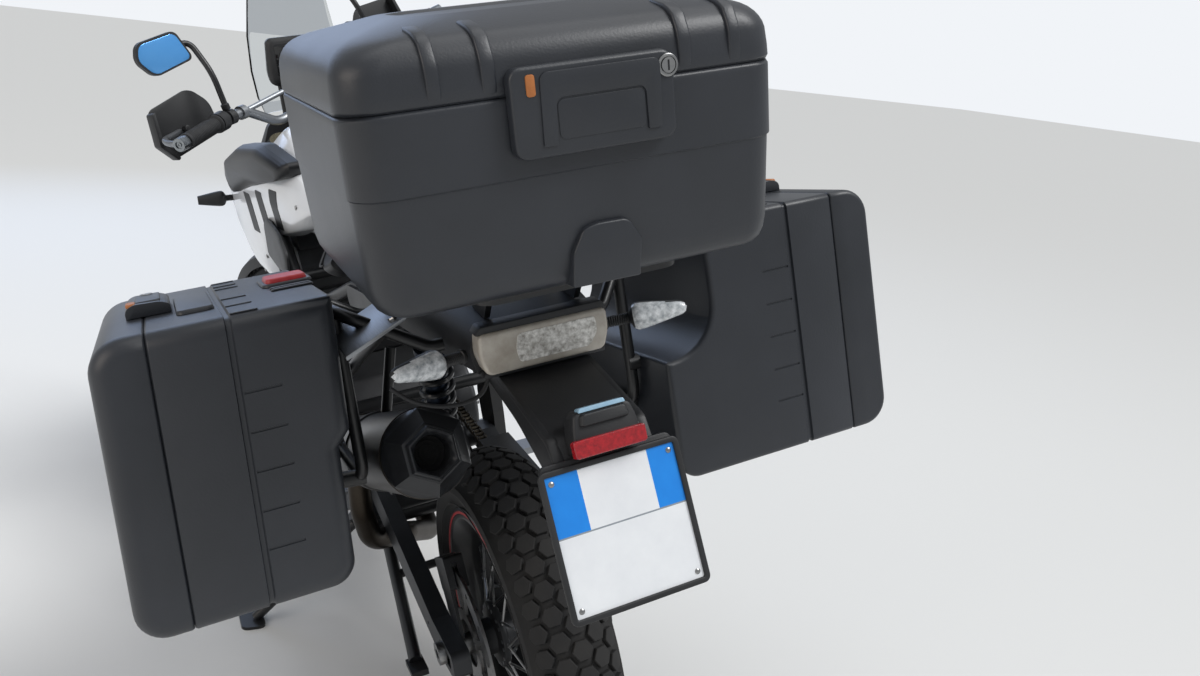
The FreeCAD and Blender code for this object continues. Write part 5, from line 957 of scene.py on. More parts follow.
# fairings: shells that swell outwards, with three plain slanted bars
fairing = {"inner": 186.0, "taperFrom": 1290.0, "taper": 0.15,
           "outline": [(715, 960), (770, 908), (900, 866), (1034, 842), (1075, 765), (1150, 700),
                       (1260, 716), (1352, 826), (1420, 958), (1334, 1030), (1180, 1022), (960, 1040),
                       (800, 1008)],
           "rounds": [16, 16, 30, 24, 20, 30, 30, 30, 24, 20, 30, 30, 20],
           "rises": ((0, 190.0), (3, 197.0), (6, 204.0), (9, 211.0), (12, 218.0), (15, 224.0), (18, 229.0),
                     (22, 233.0), (26, 235.5)),
           "bars": ((868, 892, 976), (975, 870, 960), (1082, 850, 942)), "barWidth": 50.0, "barRake": 34.0,
           "screws": ((1075, 985), (1090, 790), (1310, 1000), (1330, 850), (1180, 735), (790, 955)),
           "screwProfile": ((-6, 5.5), (0.8, 5.5), (2.0, 4.6), (2.2, 2.6), (1.0, 2.2), (1.0, 0)),
           "wedge": [(1388, 936), (1300, 905), (1200, 922), (1090, 958), (960, 988), (836, 1012), (818, 1044),
                     (1000, 1070), (1180, 1052), (1320, 1004)],
           "wedgeRises": ((0, 212.0), (4, 220.0), (5, 227.0), (6, 232.0), (8, 236.0), (10, 238.5)),
           "knee": [(1034, 886), (1060, 796), (900, 800), (760, 820), (720, 872), (800, 905), (980, 905)],
           "kneeRises": ((0, 195.0), (5, 198.5), (8, 200.0))}


def tapered(bm):
    # the fairing draws in towards the saddle
    for vert in bm.verts:
        vert.co.x -= max(0.0, fairing["taperFrom"] - vert.co.y) * fairing["taper"]


def reachOf(tree, y, z):
    # how far out the shell stands there, met by a ray from beside it
    return tree.ray_cast((400, y, z), (-1, 0, 0))[0].x


for side in (-1, 1):
    place = parked if side > 0 else parked @ flip
    bm = bmesh.new()
    domed(bm, "x", fairing["outline"], fairing["inner"], fairing["rises"], fairing["rounds"])
    tapered(bm)
    face = BVHTree.FromBMesh(bm)
    piece = newPiece("fairingShell." + sideName[side], bm, "whiteLacquer", place=place, sharp=50)
    if side > 0:
        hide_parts("side_fairings")
    bm = bmesh.new()
    for start, foot, top in fairing["bars"]:
        end, slant = start + fairing["barWidth"], fairing["barRake"]
        slab(bm, "x", [(start, foot), (end, foot), (end + slant, top), (start + slant, top)], -1.0, 1.0, 4.0)
    for height in range(852, 976, 6):
        cut(bm, Vector((0, 0, height)), Vector((0, 0, 1)))
    for reach in range(870, 1170, 8):
        cut(bm, Vector((0, reach, 0)), Vector((0, 1, 0)))
    for vert in bm.verts:
        vert.co.x = reachOf(face, vert.co.y, vert.co.z) + (0.9 if vert.co.x > 0 else -2.0)
    newPiece("fairingBars." + sideName[side], bm, "blackPolyamide", place=place)
    bm = bmesh.new()
    domed(bm, "x", fairing["wedge"], fairing["inner"], fairing["wedgeRises"], 18.0)
    tapered(bm)
    newPiece("shoulderWedge." + sideName[side], bm, "wedgeGloss", place=place, sharp=50)
    bm = bmesh.new()
    for y, z in fairing["screws"]:
        turned(bm, fairing["screwProfile"], (reachOf(face, y, z), y, z), (1, 0, 0), 14)
    newPiece("fairingScrews." + sideName[side], bm, "groundSteel", place=place, slotName="black_plastic")
    bm = bmesh.new()
    domed(bm, "x", fairing["knee"], 190.0, fairing["kneeRises"], [10, 10, 20, 20, 20, 20, 20])
    piece = newPiece("kneePanel." + sideName[side], bm, "blackPolyamide", place=place, sharp=50)
    if side > 0:
        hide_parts("knee_panels")

# nose and headlamp
nose = {"beak": ((1425, 842, 880, 914.5, 96, 124, 100), (1500, 840, 876, 914.5, 82, 106, 78),
                 (1640, 826, 846, 862, 44, 58, 36), (1723, 812, 822, 832, 14, 20, 12)),
        "housing": ((1392, 915, 1000, 1075, 90, 128, 96), (1440, 915, 990, 1072, 96, 136, 94),
                    (1490, 915, 975, 1044, 84, 120, 80), (1504, 917, 970, 1034, 79, 113, 73)),
        "neck": ((0, 1262, 1044), (0, 1400, 995)), "lugs": ((80, 1405, 950), (189.6, 1405, 950)),
        "lens": [(-76, 922), (76, 922), (108, 970), (70, 1028), (-70, 1028), (-108, 970)],
        "lensRises": ((0, 1505.0), (4, 1508.0), (10, 1510.5), (16, 1511.8)),
        "bowl": ((0, 0), (2, 30), (3, 30), (3, 27), (-14, 14), (-18, 0)), "bowlAt": (46, 1509.5, 972)}
bm = bmesh.new()
bodyLoft(bm, nose["beak"], (6, 12, 8), 4)
piece = newPiece("noseBeak", bm, "whiteLacquer", sharp=50)
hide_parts("beak")
bm = bmesh.new()
bodyLoft(bm, nose["housing"], (14, 26, 24), 5)
bar(bm, *nose["neck"], 12)
for side in (-1, 1):
    bar(bm, *[onSide(side, *end) for end in nose["lugs"]], 9)
piece = newPiece("lampHousing", bm, "blackPolyamide", sharp=50)
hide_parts("headlamp")
bm = bmesh.new()
domed(bm, "y", nose["lens"], 1498.0, nose["lensRises"], 14.0)
newPiece("headlampLens", bm, "lensHead", sharp=50)
bm = bmesh.new()
for side in (-1, 1):
    turned(bm, nose["bowl"], onSide(side, *nose["bowlAt"]), (0, 1, 0), 32)
newPiece("headlampBowls", bm, "lensFacet")

# screen: a clear blown sheet of even thickness
screen = {"rows": ((1085, 1504, 96, 40), (1130, 1494, 110, 48), (1200, 1474, 116, 50), (1290, 1446, 112, 46),
                   (1380, 1413, 97, 38), (1415, 1401, 82, 32), (1428, 1396.5, 66, 26)), "thick": 3.0}
bm = bmesh.new()
rows = []
for z, y, half, depth in screen["rows"]:
    shares = [(i - 12) / 12 for i in range(25)]
    verts = [bm.verts.new((half * share, y - depth * share * share, z)) for share in shares]
    rows.append([bm.edges.new(pair) for pair in zip(verts, verts[1:])])
stack(bm, rows)
piece = newPiece("screenSheet", bm, "screenClear", wall=screen["thick"], sharp=60)
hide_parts("windscreen")

# instruments: hooded display with buttons below it
display = {"hood": [(-74, 1160), (74, 1160), (82, 1190), (72, 1280), (-72, 1280), (-82, 1190)],
           "rises": ((0, 1366.0), (6, 1360.0), (5, 1357.0)), "back": 1386.0, "mount": (-60, 60, 1164, 1200),
           "legs": (((50, 1402, 1075), (50, 1402, 1170), 8), ((46, 1380, 1240), (46, 1450, 1240), 6)),
           "pane": [(-58, 1184), (58, 1184), (56, 1264), (-56, 1264)], "keys": (-36, -12, 12, 36)}
bm = bmesh.new()
domed(bm, "y", display["hood"], display["back"], display["rises"], 14.0)
slab(bm, "y", box2(*display["mount"]), display["back"], 1410.0, 8.0)
soften(bm, 1.5, 2, 60)
for side in (-1, 1):
    for low, high, radius in display["legs"]:
        bar(bm, onSide(side, *low), onSide(side, *high), radius)
piece = newPiece("displayHousing", bm, "blackPolyamide")
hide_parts("instruments")
slabs("displayGlassPane", [("y", display["pane"], 1360.0, 1356.2, 6.0)], (0.8, 2, 50), "displayGlass")
slabs("displayKeys", [("y", box2(x - 8, x + 8, 1167, 1176), 1360.0, 1355.6, 3.0) for x in display["keys"]],
      (1.0, 2, 50), "gripRubber", slotName="black_plastic")
print("bodywork done")

# hand end of the steering, on both sides: grips, guards, mirrors, controls
steering = {"run": (190.0, 1164.0, 1188.0), "inner": (260.0, 1148.0, 1196.0),
            "outer": (405.0, 1086.0, 1206.0), "mirror": (300.0, 1186.0, 1368.0),
            "weight": ((0.3, 11.3), (0.3, 14.2), (1.5, 15.0), (17, 15.0), (18, 14.2), (19, 15.0),
                       (22.6, 15.0), (24, 13.6), (24, 8.4), (21, 8.0), (21, 5.0), (23, 4.6), (23, 2.6),
                       (21.5, 2.4), (21.5, 0)),
            "guard": ((-84, 20), (-50, 66), (67, 56), (84, -20), (59, -62), (-84, -52)),
            "guardLip": ((60, 52), (70, 50), (86, -18), (60, -62), (52, -58), (74, -18)),
            "mirrorShell": ((-62, -34), (44, -38), (70, 6), (52, 40), (-46, 36)),
            "mirrorPane": ((-57, -30), (41, -34), (64, 6), (48, 35), (-42, 31))}


def alongBar(side, share):
    # a place on the bar's centre line: zero where it bends for the grip, one at its end
    run, inner, outer = [onSide(side, *steering[key]) for key in ("run", "inner", "outer")]
    return inner + (outer - inner) * share if share >= 0 else inner + (inner - run) * share


def facing(centre, side, key):
    # an outline seen from the saddle, mirrored on the left and set about a centre
    return [(centre.x + side * x, centre.z + z) for x, z in steering[key]]


grips, loops, shells, weights, stems, heads, glass = [bmesh.new() for _ in range(7)]
for side in (-1, 1):
    end, inner = alongBar(side, 1.0), alongBar(side, -0.85)
    gripWay = (end - alongBar(side, 0.0)).normalized()
    inboard = (alongBar(side, 0.0) - alongBar(side, -1.0)).normalized()
    length = (alongBar(side, 0.985) - alongBar(side, 0.2)).length
    profile = [(0, 11.4), (0, 20.5), (4.5, 20.5), (6.5, 17.6), (8, 15.6)]
    for i in range(int((length - 16) / 5)):
        profile += [(9 + 5 * i, 15.6), (10 + 5 * i, 16.5), (12.2 + 5 * i, 16.5), (13.2 + 5 * i, 15.6)]
    profile += [(length - 4, 16.5), (length - 1, 15.8), (length, 14.0), (length, 11.4)]
    turned(grips, profile, alongBar(side, 0.2), gripWay, 28)
    turned(weights, steering["weight"], end, gripWay, 36)
    loop = [end + gripWay * 12, end + gripWay * 14 + onSide(side, 4, 40, 2), end + onSide(side, 2, 76, 6),
            inner + onSide(side, 80, 96, 4), inner + Vector((0, 60, 2)), inner + Vector((0, 15, 0))]
    tube(loops, loop, 7.0, 26.0)
    bar(loops, inner - inboard * 8, inner + inboard * 8, 16, segments=28)
    centre = (end + inner) * 0.5 + onSide(side, 16, 92, 16)
    rises = ((0, centre.y + 1.0), (7, centre.y + 3.6), (9, centre.y + 5.0))
    domed(shells, "y", facing(centre, side, "guard"), centre.y - 1.0, rises, [14, 20, 16, 16, 20, 16])
    slab(shells, "y", facing(centre, side, "guardLip"), centre.y + 2, centre.y - 24, 3.0)
    bar(shells, centre + Vector((0, -14, -10)), centre + Vector((0, 2, -10)), 7)
    head = onSide(side, *steering["mirror"])
    root = alongBar(side, -0.3) + Vector((0, 0, 18.4))
    stem = [root, root + onSide(side, -8, 4, 84), head + onSide(side, -74, 12, 4),
            head + onSide(side, -20, 14, 2)]
    tube(stems, stem, 6.8, 30.0)
    turned(stems, ((0, 0), (0, 9.5), (12, 9.5), (14, 7), (14, 0)), root, (0, 0, 1), 20)
    rises = ((0, head.y + 12), (5, head.y + 20), (9, head.y + 28), (12, head.y + 33))
    domed(heads, "y", facing(head, side, "mirrorShell"), head.y + 0.5, rises, [14, 16, 14, 14, 14])
    slab(glass, "y", facing(head, side, "mirrorPane"), head.y + 3.0, head.y - 0.4, [12, 14, 12, 12, 12])
soften(shells, 1.2, 2, 50)
soften(glass, 0.8, 2, 60)
piece = newPiece("gripSleeves", grips, "gripRubber", "steering", steered)
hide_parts("grips")
piece = newPiece("guardLoops", loops, "brushedAluminium", "steering", steered)
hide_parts("handguards")
newPiece("guardShells", shells, "blackPolyamide", "steering", steered)
newPiece("barWeights", weights, "barAnodised", "steering", steered, slotName="bare_aluminium")
piece = newPiece("mirrorHeads", heads, "blackPolyamide", "steering", steered, sharp=50)
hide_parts("mirrors")
newPiece("mirrorStems", stems, "powderCoat", "steering", steered, slotName="black_plastic")
newPiece("mirrorGlass", glass, "mirrorSilver", "steering", steered)
print("hand controls' dress done")

# seals inside the case mouths, which also close the lid gaps to light
bm = bmesh.new()
stack(bm, [ring(bm, topCase["halfWidth"] - 6.2, topCase["halfLength"] - 6.2, 36.0, z, topCase["middleY"])
           for z in (1274.0, 1289.5)])
newPiece("tubSeal", bm, "gripRubber", wall=2.0, slotName="case_plastic")
for side in (-1, 1):
    seal = sideCaseShell(side)
    for offset, clear in ((-9.0, -1), (5.0, 1)):
        at, way = splayPlane(side, sideCase["seam"] + offset)
        cut(seal, at, way * clear, True)
    seal.normal_update()
    for vert, normal in [(vert, vert.normal.copy()) for vert in seal.verts]:
        vert.co -= normal * 5.8
    newPiece("caseSeal." + sideName[side], seal, "gripRubber", "chassis", casePlace[side], 1.8,
             slotName="case_plastic")

# fittings on top of the side cases: latch, its amber tab, the carrying lever and pressed ribs
caseTop = {"latch": (448.0, 505.0, -58.0, 63.0), "plate": (396.0, 444.0, -118.0, 70.0),
           "tab": (490.0, 503.0, -54.0, -20.0), "lever": (258.0, 318.0, 2.0, 66.0), "rib": (350, 384, 0, 5),
           "ribs": (-206.0, -126.0, -40.0, 100.0, 140.0, 190.0),
           "barrel": ((-2, 9), (1.6, 9), (2.4, 8), (2.4, 6.6), (1.0, 6.2), (2.6, 5.6), (2.8, 0))}


def spot(side, key, x0=0.0, x1=0.0, y0=0.0, y1=0.0):
    # a fitting's rectangle on a case, with each of its sides moved by so much
    left, right, rear, front = caseTop[key]
    shift = flared(side, 0.0, sideCase["top"])
    return left + shift + x0, right + shift + x1, rear + y0, front + y1


for side in (-1, 1):
    name, top, lidBody = sideName[side], sideCase["top"], "pannier_%s_lid" % sideName[side]
    low = top - 0.4
    x0, x1, y0, y1 = spot(side, "latch")
    section = [(x0, top + 0.8), (x1 - 6, top + 0.8), (x1, top - 1.5), (x1, top + 12), (x1 - 10, top + 19),
               (x0 + 10, top + 17.5), (x0, top + 12)]
    left, right, rear = spot(side, "lever")[:3]
    frames = [("z", box2(*spot(side, "lever", -6, 6, -8, 30)), low, top + 5.0, 12.0, 0.96)]
    frames += [("z", box2(left, right, y, y + 9), low, top + 3.4, 4.0, 0.94) for y in (rear - 60, rear - 40)]
    ribs = [("z", box2(*spot(side, "rib", 0, 0, y, y)), low, top + 1.6, 2.0) for y in caseTop["ribs"]]
    # each: outlines as slab takes them, softened edges, finish, body
    fittings = {
        "sideLatch": ([("y", section, y0, y1, [1, 1, 1, 5, 6, 6, 3])], (3.0, 3, 50), "caseAbs", lidBody),
        "sideLatchFlap": ([("z", box2(*spot(side, "latch", 10, -14, 12, -12)), top + 16.5, top + 20.0, 6.0,
                            0.95)], (1.0, 2, 50), "caseAbs", lidBody),
        "sideLatchTab": ([("z", box2(*spot(side, "tab")), top + 15.0, top + 19.8, 4.0, 0.9)], (1.2, 2, 50),
                         "amberPolyamide", lidBody),
        "sideLatchPlate": ([("z", box2(*spot(side, "plate")), low, top + 6.0, 10.0, 0.96)], (2.0, 3, 50),
                           "caseAbs", "chassis"),
        "caseLeverFrame": (frames, (1.8, 3, 50), "caseAbs", "chassis"),
        "caseLever": ([("z", box2(*spot(side, "lever")), top + 4.0, top + 11.5, 9.0, 0.93)], (2.0, 3, 50),
                      "redPolyamide", "chassis"),
        "caseTopRibs": (ribs, (0.7, 1, 50), "caseAbs", "chassis"),
    }
    for kind, (shapes, edge, material, body) in fittings.items():
        slabs("%s.%s" % (kind, name), shapes, edge, material, body, casePlace[side])
    bm = bmesh.new()
    turned(bm, caseTop["barrel"], (x0 + 28, y1 - 24, top + 19.0), (0, 0, 1), 24)
    newPiece("sideKeyBarrel." + name, bm, "groundSteel", lidBody, casePlace[side], slotName="case_plastic")
print("case fittings done")

# seat: two moulded pads with crowned tops, side seams and piping
seat = {"rider": ((760, 864, 880, 897, 62, 86, 58), (725, 855, 872, 894, 80, 108, 78),
                  (690, 848, 866, 890, 96, 123, 92), (620, 846, 868, 892, 110, 142, 106),
                  (560, 847, 872, 897, 118, 156, 114), (500, 868, 890, 917, 122, 156, 112),
                  (480, 880, 900, 928, 122, 154, 108)),
        "passenger": ((471, 882, 925, 958, 122, 146, 104), (440, 886, 932, 976, 124, 148, 108),
                      (400, 893, 940, 987, 124, 146, 108), (310, 905, 950, 998, 124, 143, 104),
                      (220, 918, 960, 1003, 124, 139, 100), (120, 934, 968, 1007, 122, 133, 94),
                      (52, 946, 974, 1003, 118, 126, 84)), "crown": 3.5, "crownBand": 6.0,
        "railFrom": (118, 400, 872), "railTo": (118, 60, 925), "feetAt": (0.12, 0.55),
        "frontFoot": ((60, 532, 829.3), (60, 532, 858))}
for name in ("rider", "passenger"):
    rows = seat[name]
    bm = bmesh.new()
    bodyLoft(bm, rows, (8, 26, 34), 5, 3)
    for vert in bm.verts:
        row = min(rows, key=lambda r: abs(r[0] - vert.co.y))
        if vert.co.z > row[3] - seat["crownBand"]:
            vert.co.z += seat["crown"] * (1 - (vert.co.x / row[6]) ** 2)
    piece = newPiece("seatPad." + name, bm, "seatVinyl", sharp=60)
    if name == "rider":
        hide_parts("seat")
    bm = bmesh.new()
    for side in (-1, 1):
        line = [(side * (row[5] - 1.5), row[0], row[2] + 5) for row in rows[1:-1]]
        tube(bm, line, 1.9, 30.0, 8)
    newPiece("seatPiping." + name, bm, "gripRubber", slotName="seat_cover")
bm = bmesh.new()
for side in (-1, 1):
    for share in seat["feetAt"]:
        foot = onSide(side, *seat["railFrom"]).lerp(onSide(side, *seat["railTo"]), share)
        bar(bm, foot + Vector((0, 0, 12.3)), foot + Vector((0, 0, 32)), 9)
    low, high = [onSide(side, *end) for end in seat["frontFoot"]]
    bar(bm, low, high, 10)
newPiece("seatFeet", bm, "gripRubber", slotName="seat_cover")
print("seat done")

# silencer: sleeve with folded ends and a strap, and a faceted cap round its outlet
silencer = {"front": (-178.0, 310.0, 585.0), "rear": (-157.0, -170.0, 778.0), "radius": 64.0,
            "strapAt": 223, "strapFoot": (-126, 120, 838),
            # the cap's rings: along, radius, and how far from round to six-sided
            "cap": ((0.3, 64.5, 0.1), (4, 65, 0.6), (11, 65, 0.97), (13, 63.5, 1.0), (33, 45, 1.0),
                    (35, 44, 1.0), (36.5, 41, 1.0), (36.5, 39.5, 1.0), (43, 38.5, 1.0), (45.5, 36.5, 0.97),
                    (45.8, 34, 0.95), (42, 29, 0.6), (38, 26.5, 0.0), (36, 25.2, 0.0), (4, 25.0, 0.0))}
canFront, canRear = Vector(silencer["front"]), Vector(silencer["rear"])
canWay = (canRear - canFront).normalized()
canAcross = Vector((0, 0, 1)).cross(canWay).normalized()
canUp = canWay.cross(canAcross)
canTurn = Matrix((canAcross, canUp, canWay)).transposed().to_4x4()
end, r = (canRear - canFront).length, silencer["radius"]
bm = bmesh.new()
turned(bm, ((0.4, 0), (0.4, 28), (70, 60), (71, r + 2), (84, r + 2), (85, r), (140, r), (141, r - 0.8),
            (143, r - 0.8), (144, r), (end - 16, r), (end - 15, r + 1.4), (end - 5, r + 1.4), (end - 4, r),
            (end, r - 1), (end, 0)), canFront, canWay, 64)
piece = newPiece("silencerSleeve", bm, "silencerSkin")
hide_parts("silencer")
strap = canFront + canWay * silencer["strapAt"]
bm = bmesh.new()
turned(bm, ((209, r + 0.2), (210, r + 3), (236, r + 3), (237, r + 0.2)), canFront, canWay, 64)
bar(bm, strap, silencer["strapFoot"], 9)
turned(bm, ((0, 8), (6, 8), (7.5, 6), (7.5, 0)), strap - canUp * (r + 2), -canUp, 6)
newPiece("silencerStrap", bm, "powderCoat", slotName="silencer_skin")


def outletLoop(bm, along, radius, facet):
    # a ring that runs from round, at facet zero, to six-sided
    centre = canRear + canWay * along
    edges = circleLoop(bm, 48, radius, Matrix.Translation(centre) @ canTurn)
    for vert in {vert for edge in edges for vert in edge.verts}:
        out = vert.co - centre
        angle = math.degrees(math.atan2(out.dot(canUp), out.dot(canAcross)))
        flat = math.cos(math.radians(30)) / math.cos(math.radians((angle + 30) % 60 - 30))
        vert.co = centre + out * (1 + facet * (flat - 1))
    return edges


bm = bmesh.new()
stack(bm, [outletLoop(bm, *row) for row in silencer["cap"]])
piece = newPiece("silencerCap", bm, "capEnamel", sharp=32)
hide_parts("silencer_cap")
# a near-black disc closes the outlet a little way in: soot, and painted shade for the pipe beyond it
bm = bmesh.new()
turned(bm, ((6, 25), (6, 0)), canRear, canWay, 32)
for inward in (0, 6, 12):
    rib = ((5, 19 - inward), (7.5, 18.5 - inward), (7.5, 17 - inward), (5, 16.5 - inward))
    turned(bm, rib, canRear, canWay, 32)
newPiece("silencerBaffle", bm, "sootBlack")
print("silencer done")

# bracket plate and stay that show between the cases
stay = [(-246, 951), (-162, 989), (-160, 995), (-247, 957)]
slabs("rackPlate", [("y", stay, -206, -96, 2.0)], (1.2, 2, 50), "brushedAluminium")
bm = bmesh.new()
for y in (-190, -112):
    turned(bm, ((-3, 6), (4, 6), (5.5, 4.4), (5.5, 0)), (-176, y, 987), (-0.41, 0, 0.91), 6)
newPiece("rackPlateBolts", bm, "groundSteel", slotName="bare_aluminium")

# spoked wheels: black rims with a red pinstripe, spool hubs, crossed spokes and their nipples
wheels = {"rear": {"body": "rear_wheel", "centre": (0.0, 0.0, 321.0), "rim": 216.0, "width": 122.0,
                   "barrel": 32.0, "flange": 58.0, "flangeAt": 50.0, "ends": (95.2, 94.2), "place": parked},
          "front": {"body": "front_wheel", "centre": (0.0, 1578.0, 348.0), "rim": 267.0, "width": 74.0,
                    "barrel": 26.0, "flange": 46.0, "flangeAt": 36.0, "ends": (59.2, 59.2), "place": steered}}
hub = {"bore": 14.4, "seatRadius": 62, "seatWidth": 8, "well": 24.0, "spokes": 36, "lacing": math.radians(38)}


def turnedRing(bm, profile, centre, steps, width=0.0, angle=30):
    # a closed profile spun about the axle, its edges softened
    turned(bm, [*profile, profile[0]], centre, (1, 0, 0), steps)
    if width:
        bmesh.ops.remove_doubles(bm, verts=bm.verts, dist=0.01)
        soften(bm, width, 2, angle)


for name, wheel in wheels.items():
    centre, edge, well, r = Vector(wheel["centre"]), wheel["width"] / 2, hub["well"], wheel["rim"]
    onWheel = {"body": wheel["body"], "place": wheel["place"], "slotName": "wheel_metal"}
    rimBm, stripe, hubBm, spokes, nipples = [bmesh.new() for _ in range(5)]
    turnedRing(rimBm, [(-edge, r + 12), (-edge, r - 7), (-well - 6, r - 22), (-well, r - 24), (0, r - 25.5),
                       (well, r - 24), (well + 6, r - 22), (edge, r - 7), (edge, r + 12), (edge - 6, r + 12),
                       (edge - 6, r), (well, r - 17), (-well, r - 17), (6 - edge, r), (6 - edge, r + 12)],
               centre, 96, 1.4, 28)
    piece = newPiece("rim." + name, rimBm, "rimEnamel", **onWheel)
    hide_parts(name + "_wheel_spoked")
    for side in (-1, 1):
        low, high = side * (edge - 0.6), side * (edge + 0.35)
        turnedRing(stripe, [(low, r + 1.5), (high, r + 1.5), (high, r + 6.0), (low, r + 6.0)], centre, 96)
    newPiece("rimStripe." + name, stripe, "stripeRed", **onWheel)
    left, right = wheel["ends"]
    barrel, at, flange = wheel["barrel"], wheel["flangeAt"], wheel["flange"]
    bore, seatR, deep = hub["bore"], hub["seatRadius"], hub["seatWidth"]
    turnedRing(hubBm, [(-left, bore), (right, bore), (right, seatR), (right - deep, seatR),
                       (right - deep, barrel), (at + 8, barrel), (at + 5, flange), (at - 5, flange),
                       (at - 11, barrel), (0, barrel - 3), (11 - at, barrel), (5 - at, flange),
                       (-at - 5, flange), (-at - 8, barrel), (deep - left, barrel), (deep - left, seatR),
                       (-left, seatR)], centre, 64, 1.2, 40)
    newPiece("wheelHub." + name, hubBm, "castCases", **onWheel)
    for i in range(hub["spokes"]):
        side, turn = (1 if i % 2 else -1), (1 if (i // 2) % 2 else -1)
        atRim = math.tau * i / hub["spokes"]
        atHub = atRim + turn * hub["lacing"]
        low, high = flange - 6, r - 22
        foot = centre + Vector((side * at, low * math.cos(atHub), low * math.sin(atHub)))
        top = centre + Vector((side * 9, high * math.cos(atRim), high * math.sin(atRim)))
        bar(spokes, foot, top, 2.2, segments=8)
        way = (top - foot).normalized()
        turned(nipples, ((-17, 2.3), (-16, 3.3), (-5, 3.6), (-3, 5.0), (1, 5.2)), top, way, 8)
        aside = Vector((side * 6.5, 0, 0))
        bar(nipples, foot - aside, foot + aside, 3.6, segments=8)
    newPiece("spokes." + name, spokes, "groundSteel", **onWheel)
    newPiece("nipples." + name, nipples, "brushedAluminium", **onWheel)

# tail cover: crowned shell over the rails, closed below, with its side skirts
tail = {"rows": ((44, 900, 938, 989, 126, 136, 108), (0, 901, 938, 988, 122, 132, 106),
                 (-120, 903, 941, 984, 108, 118, 96), (-249, 905, 944, 977, 88, 98, 78)),
        "skirt": [(30, 934), (46, 934), (380, 883), (392, 858), (380, 842), (200, 862), (30, 900)],
        "skirtRounds": [4, 6, 10, 12, 10, 30, 10], "skirtFrom": 130.5, "skirtTo": 137.2}
bm = bmesh.new()
bodyLoft(bm, tail["rows"], (6, 16, 26), 5, 3)
for side in (-1, 1):
    slab(bm, "x", tail["skirt"], side * tail["skirtFrom"], side * tail["skirtTo"], tail["skirtRounds"])
piece = newPiece("tailShell", bm, "blackPolyamide")
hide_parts("tail_cover")

# bolts round the engine's covers, drawn with sunk sockets
engine = {"covers": ((1, 800.0, 430.0, 108.0, 46.0), (1, 962.0, 420.0, 88.0, 40.0),
                     (-1, 950.0, 420.0, 94.0, 50.0), (-1, 806.0, 424.0, 70.0, 34.0)), "half": 120.0,
          "bolts": 9, "boltInset": 12, "fins": 34, "finsFrom": 580, "finPitch": 6.0}
bolt = ((-4, 5.4), (3.4, 5.4), (4.4, 4.6), (4.4, 2.8), (1.6, 2.6), (1.6, 0))
bolts, dishes = bmesh.new(), bmesh.new()
for side, y, z, radius, reach in engine["covers"]:
    x, r = side * (engine["half"] + reach), radius - engine["boltInset"]
    for i in range(engine["bolts"]):
        angle = math.tau * (i + 0.3) / engine["bolts"]
        turned(bolts, bolt, (x, y + r * math.cos(angle), z + r * math.sin(angle)), (side, 0, 0), 12)
    dish = ((-1, radius - 24), (1.6, radius - 25), (2.4, radius - 27), (2.4, radius - 34), (1.4, radius - 36),
            (1.4, 0))
    turned(dishes, dish, (x, y, z), (side, 0, 0), 48)
newPiece("coverBolts", bolts, "groundSteel", slotName="engine_metal")
newPiece("coverDishes", dishes, "castCases")

# radiator core: thin fins between its tanks
finLevels = [engine["finsFrom"] + engine["finPitch"] * i for i in range(engine["fins"])]
slabs("radiatorFins", [("z", box2(-128, 128, 1119.2, 1148.8), z, z + 1.0) for z in finLevels], None,
      "radiatorCoat")
print("wheels and engine done")

# the indicators' lead, which hangs from the left rack to the tail's underside
lead = {"path": [(-196, -196, 896), (-172, -202, 872), (-138, -204, 856), (-104, -204, 851), (-74, -203, 857),
                 (-60, -200, 880), (-58, -198, 902)], "radius": 3.1, "bend": 22.0}
bm = bmesh.new()
tube(bm, lead["path"], lead["radius"], lead["bend"], 12)
newPiece("indicatorLead", bm, "gripRubber", slotName="black_plastic")

# floor, light and camera
studio = {"floorColour": "#d8d8d6", "floorHalf": 60.0, "worldStrength": 0.5, "sunPower": 1.9,
          "sunAngle": 24.0, "sunFrom": (2.6, -2.2, 4.4),
          # area lamps: place, aim, size, power, colour
          "panels": {"skyPanel": ((0.4, -0.6, 5.2), (0.0, -0.2, 0.7), (4.0, 4.0), 60, "#ffffff"),
                     "leftPanel": ((-4.2, -1.8, 2.6), (0.0, 0.0, 0.7), (3.0, 2.4), 52, "#fff2e6"),
                     "frontPanel": ((-1.0, 5.2, 3.0), (0.0, 0.3, 0.7), (4.4, 2.6), 55, "#b9d3ff")},
          "cameraAt": (-0.56929, -2.13644, 1.29802), "yaw": 26.842, "down": 15.676, "roll": 6.747,
          "focalLength": 30.65, "sensorWidth": 36.0}


def makeFloor():
    bm = bmesh.new()
    bmesh.ops.create_grid(bm, x_segments=1, y_segments=1, size=studio["floorHalf"])
    mesh = bpy.data.meshes.new("studioFloor")
    bm.to_mesh(mesh)
    bm.free()
    floor = bpy.data.objects.new("studioFloor", mesh)
    bpy.context.scene.collection.objects.link(floor)
    finish("floorPaper", studio["floorColour"], 0.9, patch=900)
    floor.data.materials.append(materials["floorPaper"])


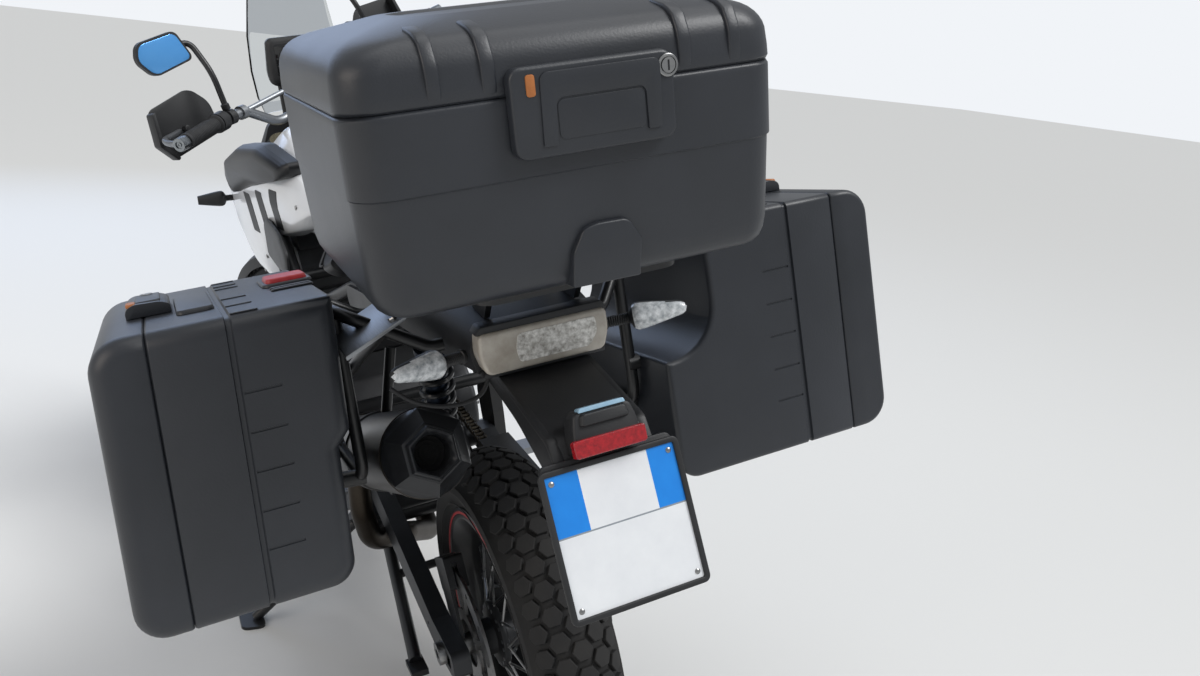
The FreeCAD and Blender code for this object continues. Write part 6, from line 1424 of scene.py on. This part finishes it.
def makeWorld():
    world = bpy.data.worlds.new("studioAir")
    bpy.context.scene.world = world
    world.use_nodes = True
    tree = world.node_tree
    back = tree.nodes["Background"]
    back.inputs["Color"].default_value = hexColour("#f1f4f8")
    path = addNode(tree, "ShaderNodeLightPath", {})
    level = addNode(tree, "ShaderNodeMapRange", {"To Min": studio["worldStrength"], "To Max": 1.0},
                    [(path, "Is Camera Ray", "Value")])
    tree.links.new(level.outputs["Result"], back.inputs["Strength"])


def aimedLamp(name, kind, power, place, aim):
    lamp = bpy.data.lights.new(name, kind)
    lamp.energy = power
    holder = bpy.data.objects.new(name, lamp)
    holder.location = place
    holder.rotation_mode = "QUATERNION"
    holder.rotation_quaternion = (Vector(aim) - Vector(place)).to_track_quat("-Z", "Y")
    bpy.context.scene.collection.objects.link(holder)
    return lamp


def makeLights():
    sun = aimedLamp("softSun", "SUN", studio["sunPower"], studio["sunFrom"], (0.0, 0.0, 0.0))
    sun.angle = math.radians(studio["sunAngle"])
    for name, (place, aim, size, power, colour) in studio["panels"].items():
        lamp = aimedLamp(name, "AREA", power, place, aim)
        lamp.color = hexColour(colour)[:3]
        lamp.shape = "RECTANGLE"
        lamp.size, lamp.size_y = size


def makeCamera():
    # the photograph's own viewpoint: behind the left side, looking down, with the horizon tilted
    yaw, down, roll = [math.radians(studio[key]) for key in ("yaw", "down", "roll")]
    ahead = Vector((math.sin(yaw) * math.cos(down), math.cos(yaw) * math.cos(down), -math.sin(down)))
    level = Vector((math.cos(yaw), -math.sin(yaw), 0.0))
    above = level.cross(ahead)
    right = level * math.cos(roll) + above * math.sin(roll)
    up = above * math.cos(roll) - level * math.sin(roll)
    lens = bpy.data.cameras.new("photoCamera")
    lens.lens, lens.sensor_width = studio["focalLength"], studio["sensorWidth"]
    lens.clip_start, lens.clip_end = 0.02, 100.0
    camera = bpy.data.objects.new("photoCamera", lens)
    turn = Matrix((right, up, -ahead)).transposed().to_4x4()
    camera.matrix_world = Matrix.Translation(Vector(studio["cameraAt"])) @ turn
    bpy.context.scene.collection.objects.link(camera)
    bpy.context.scene.camera = camera


makeFloor()
makeWorld()
makeLights()
makeCamera()
bpy.context.scene.view_settings.view_transform = "Standard"
print("studio set")
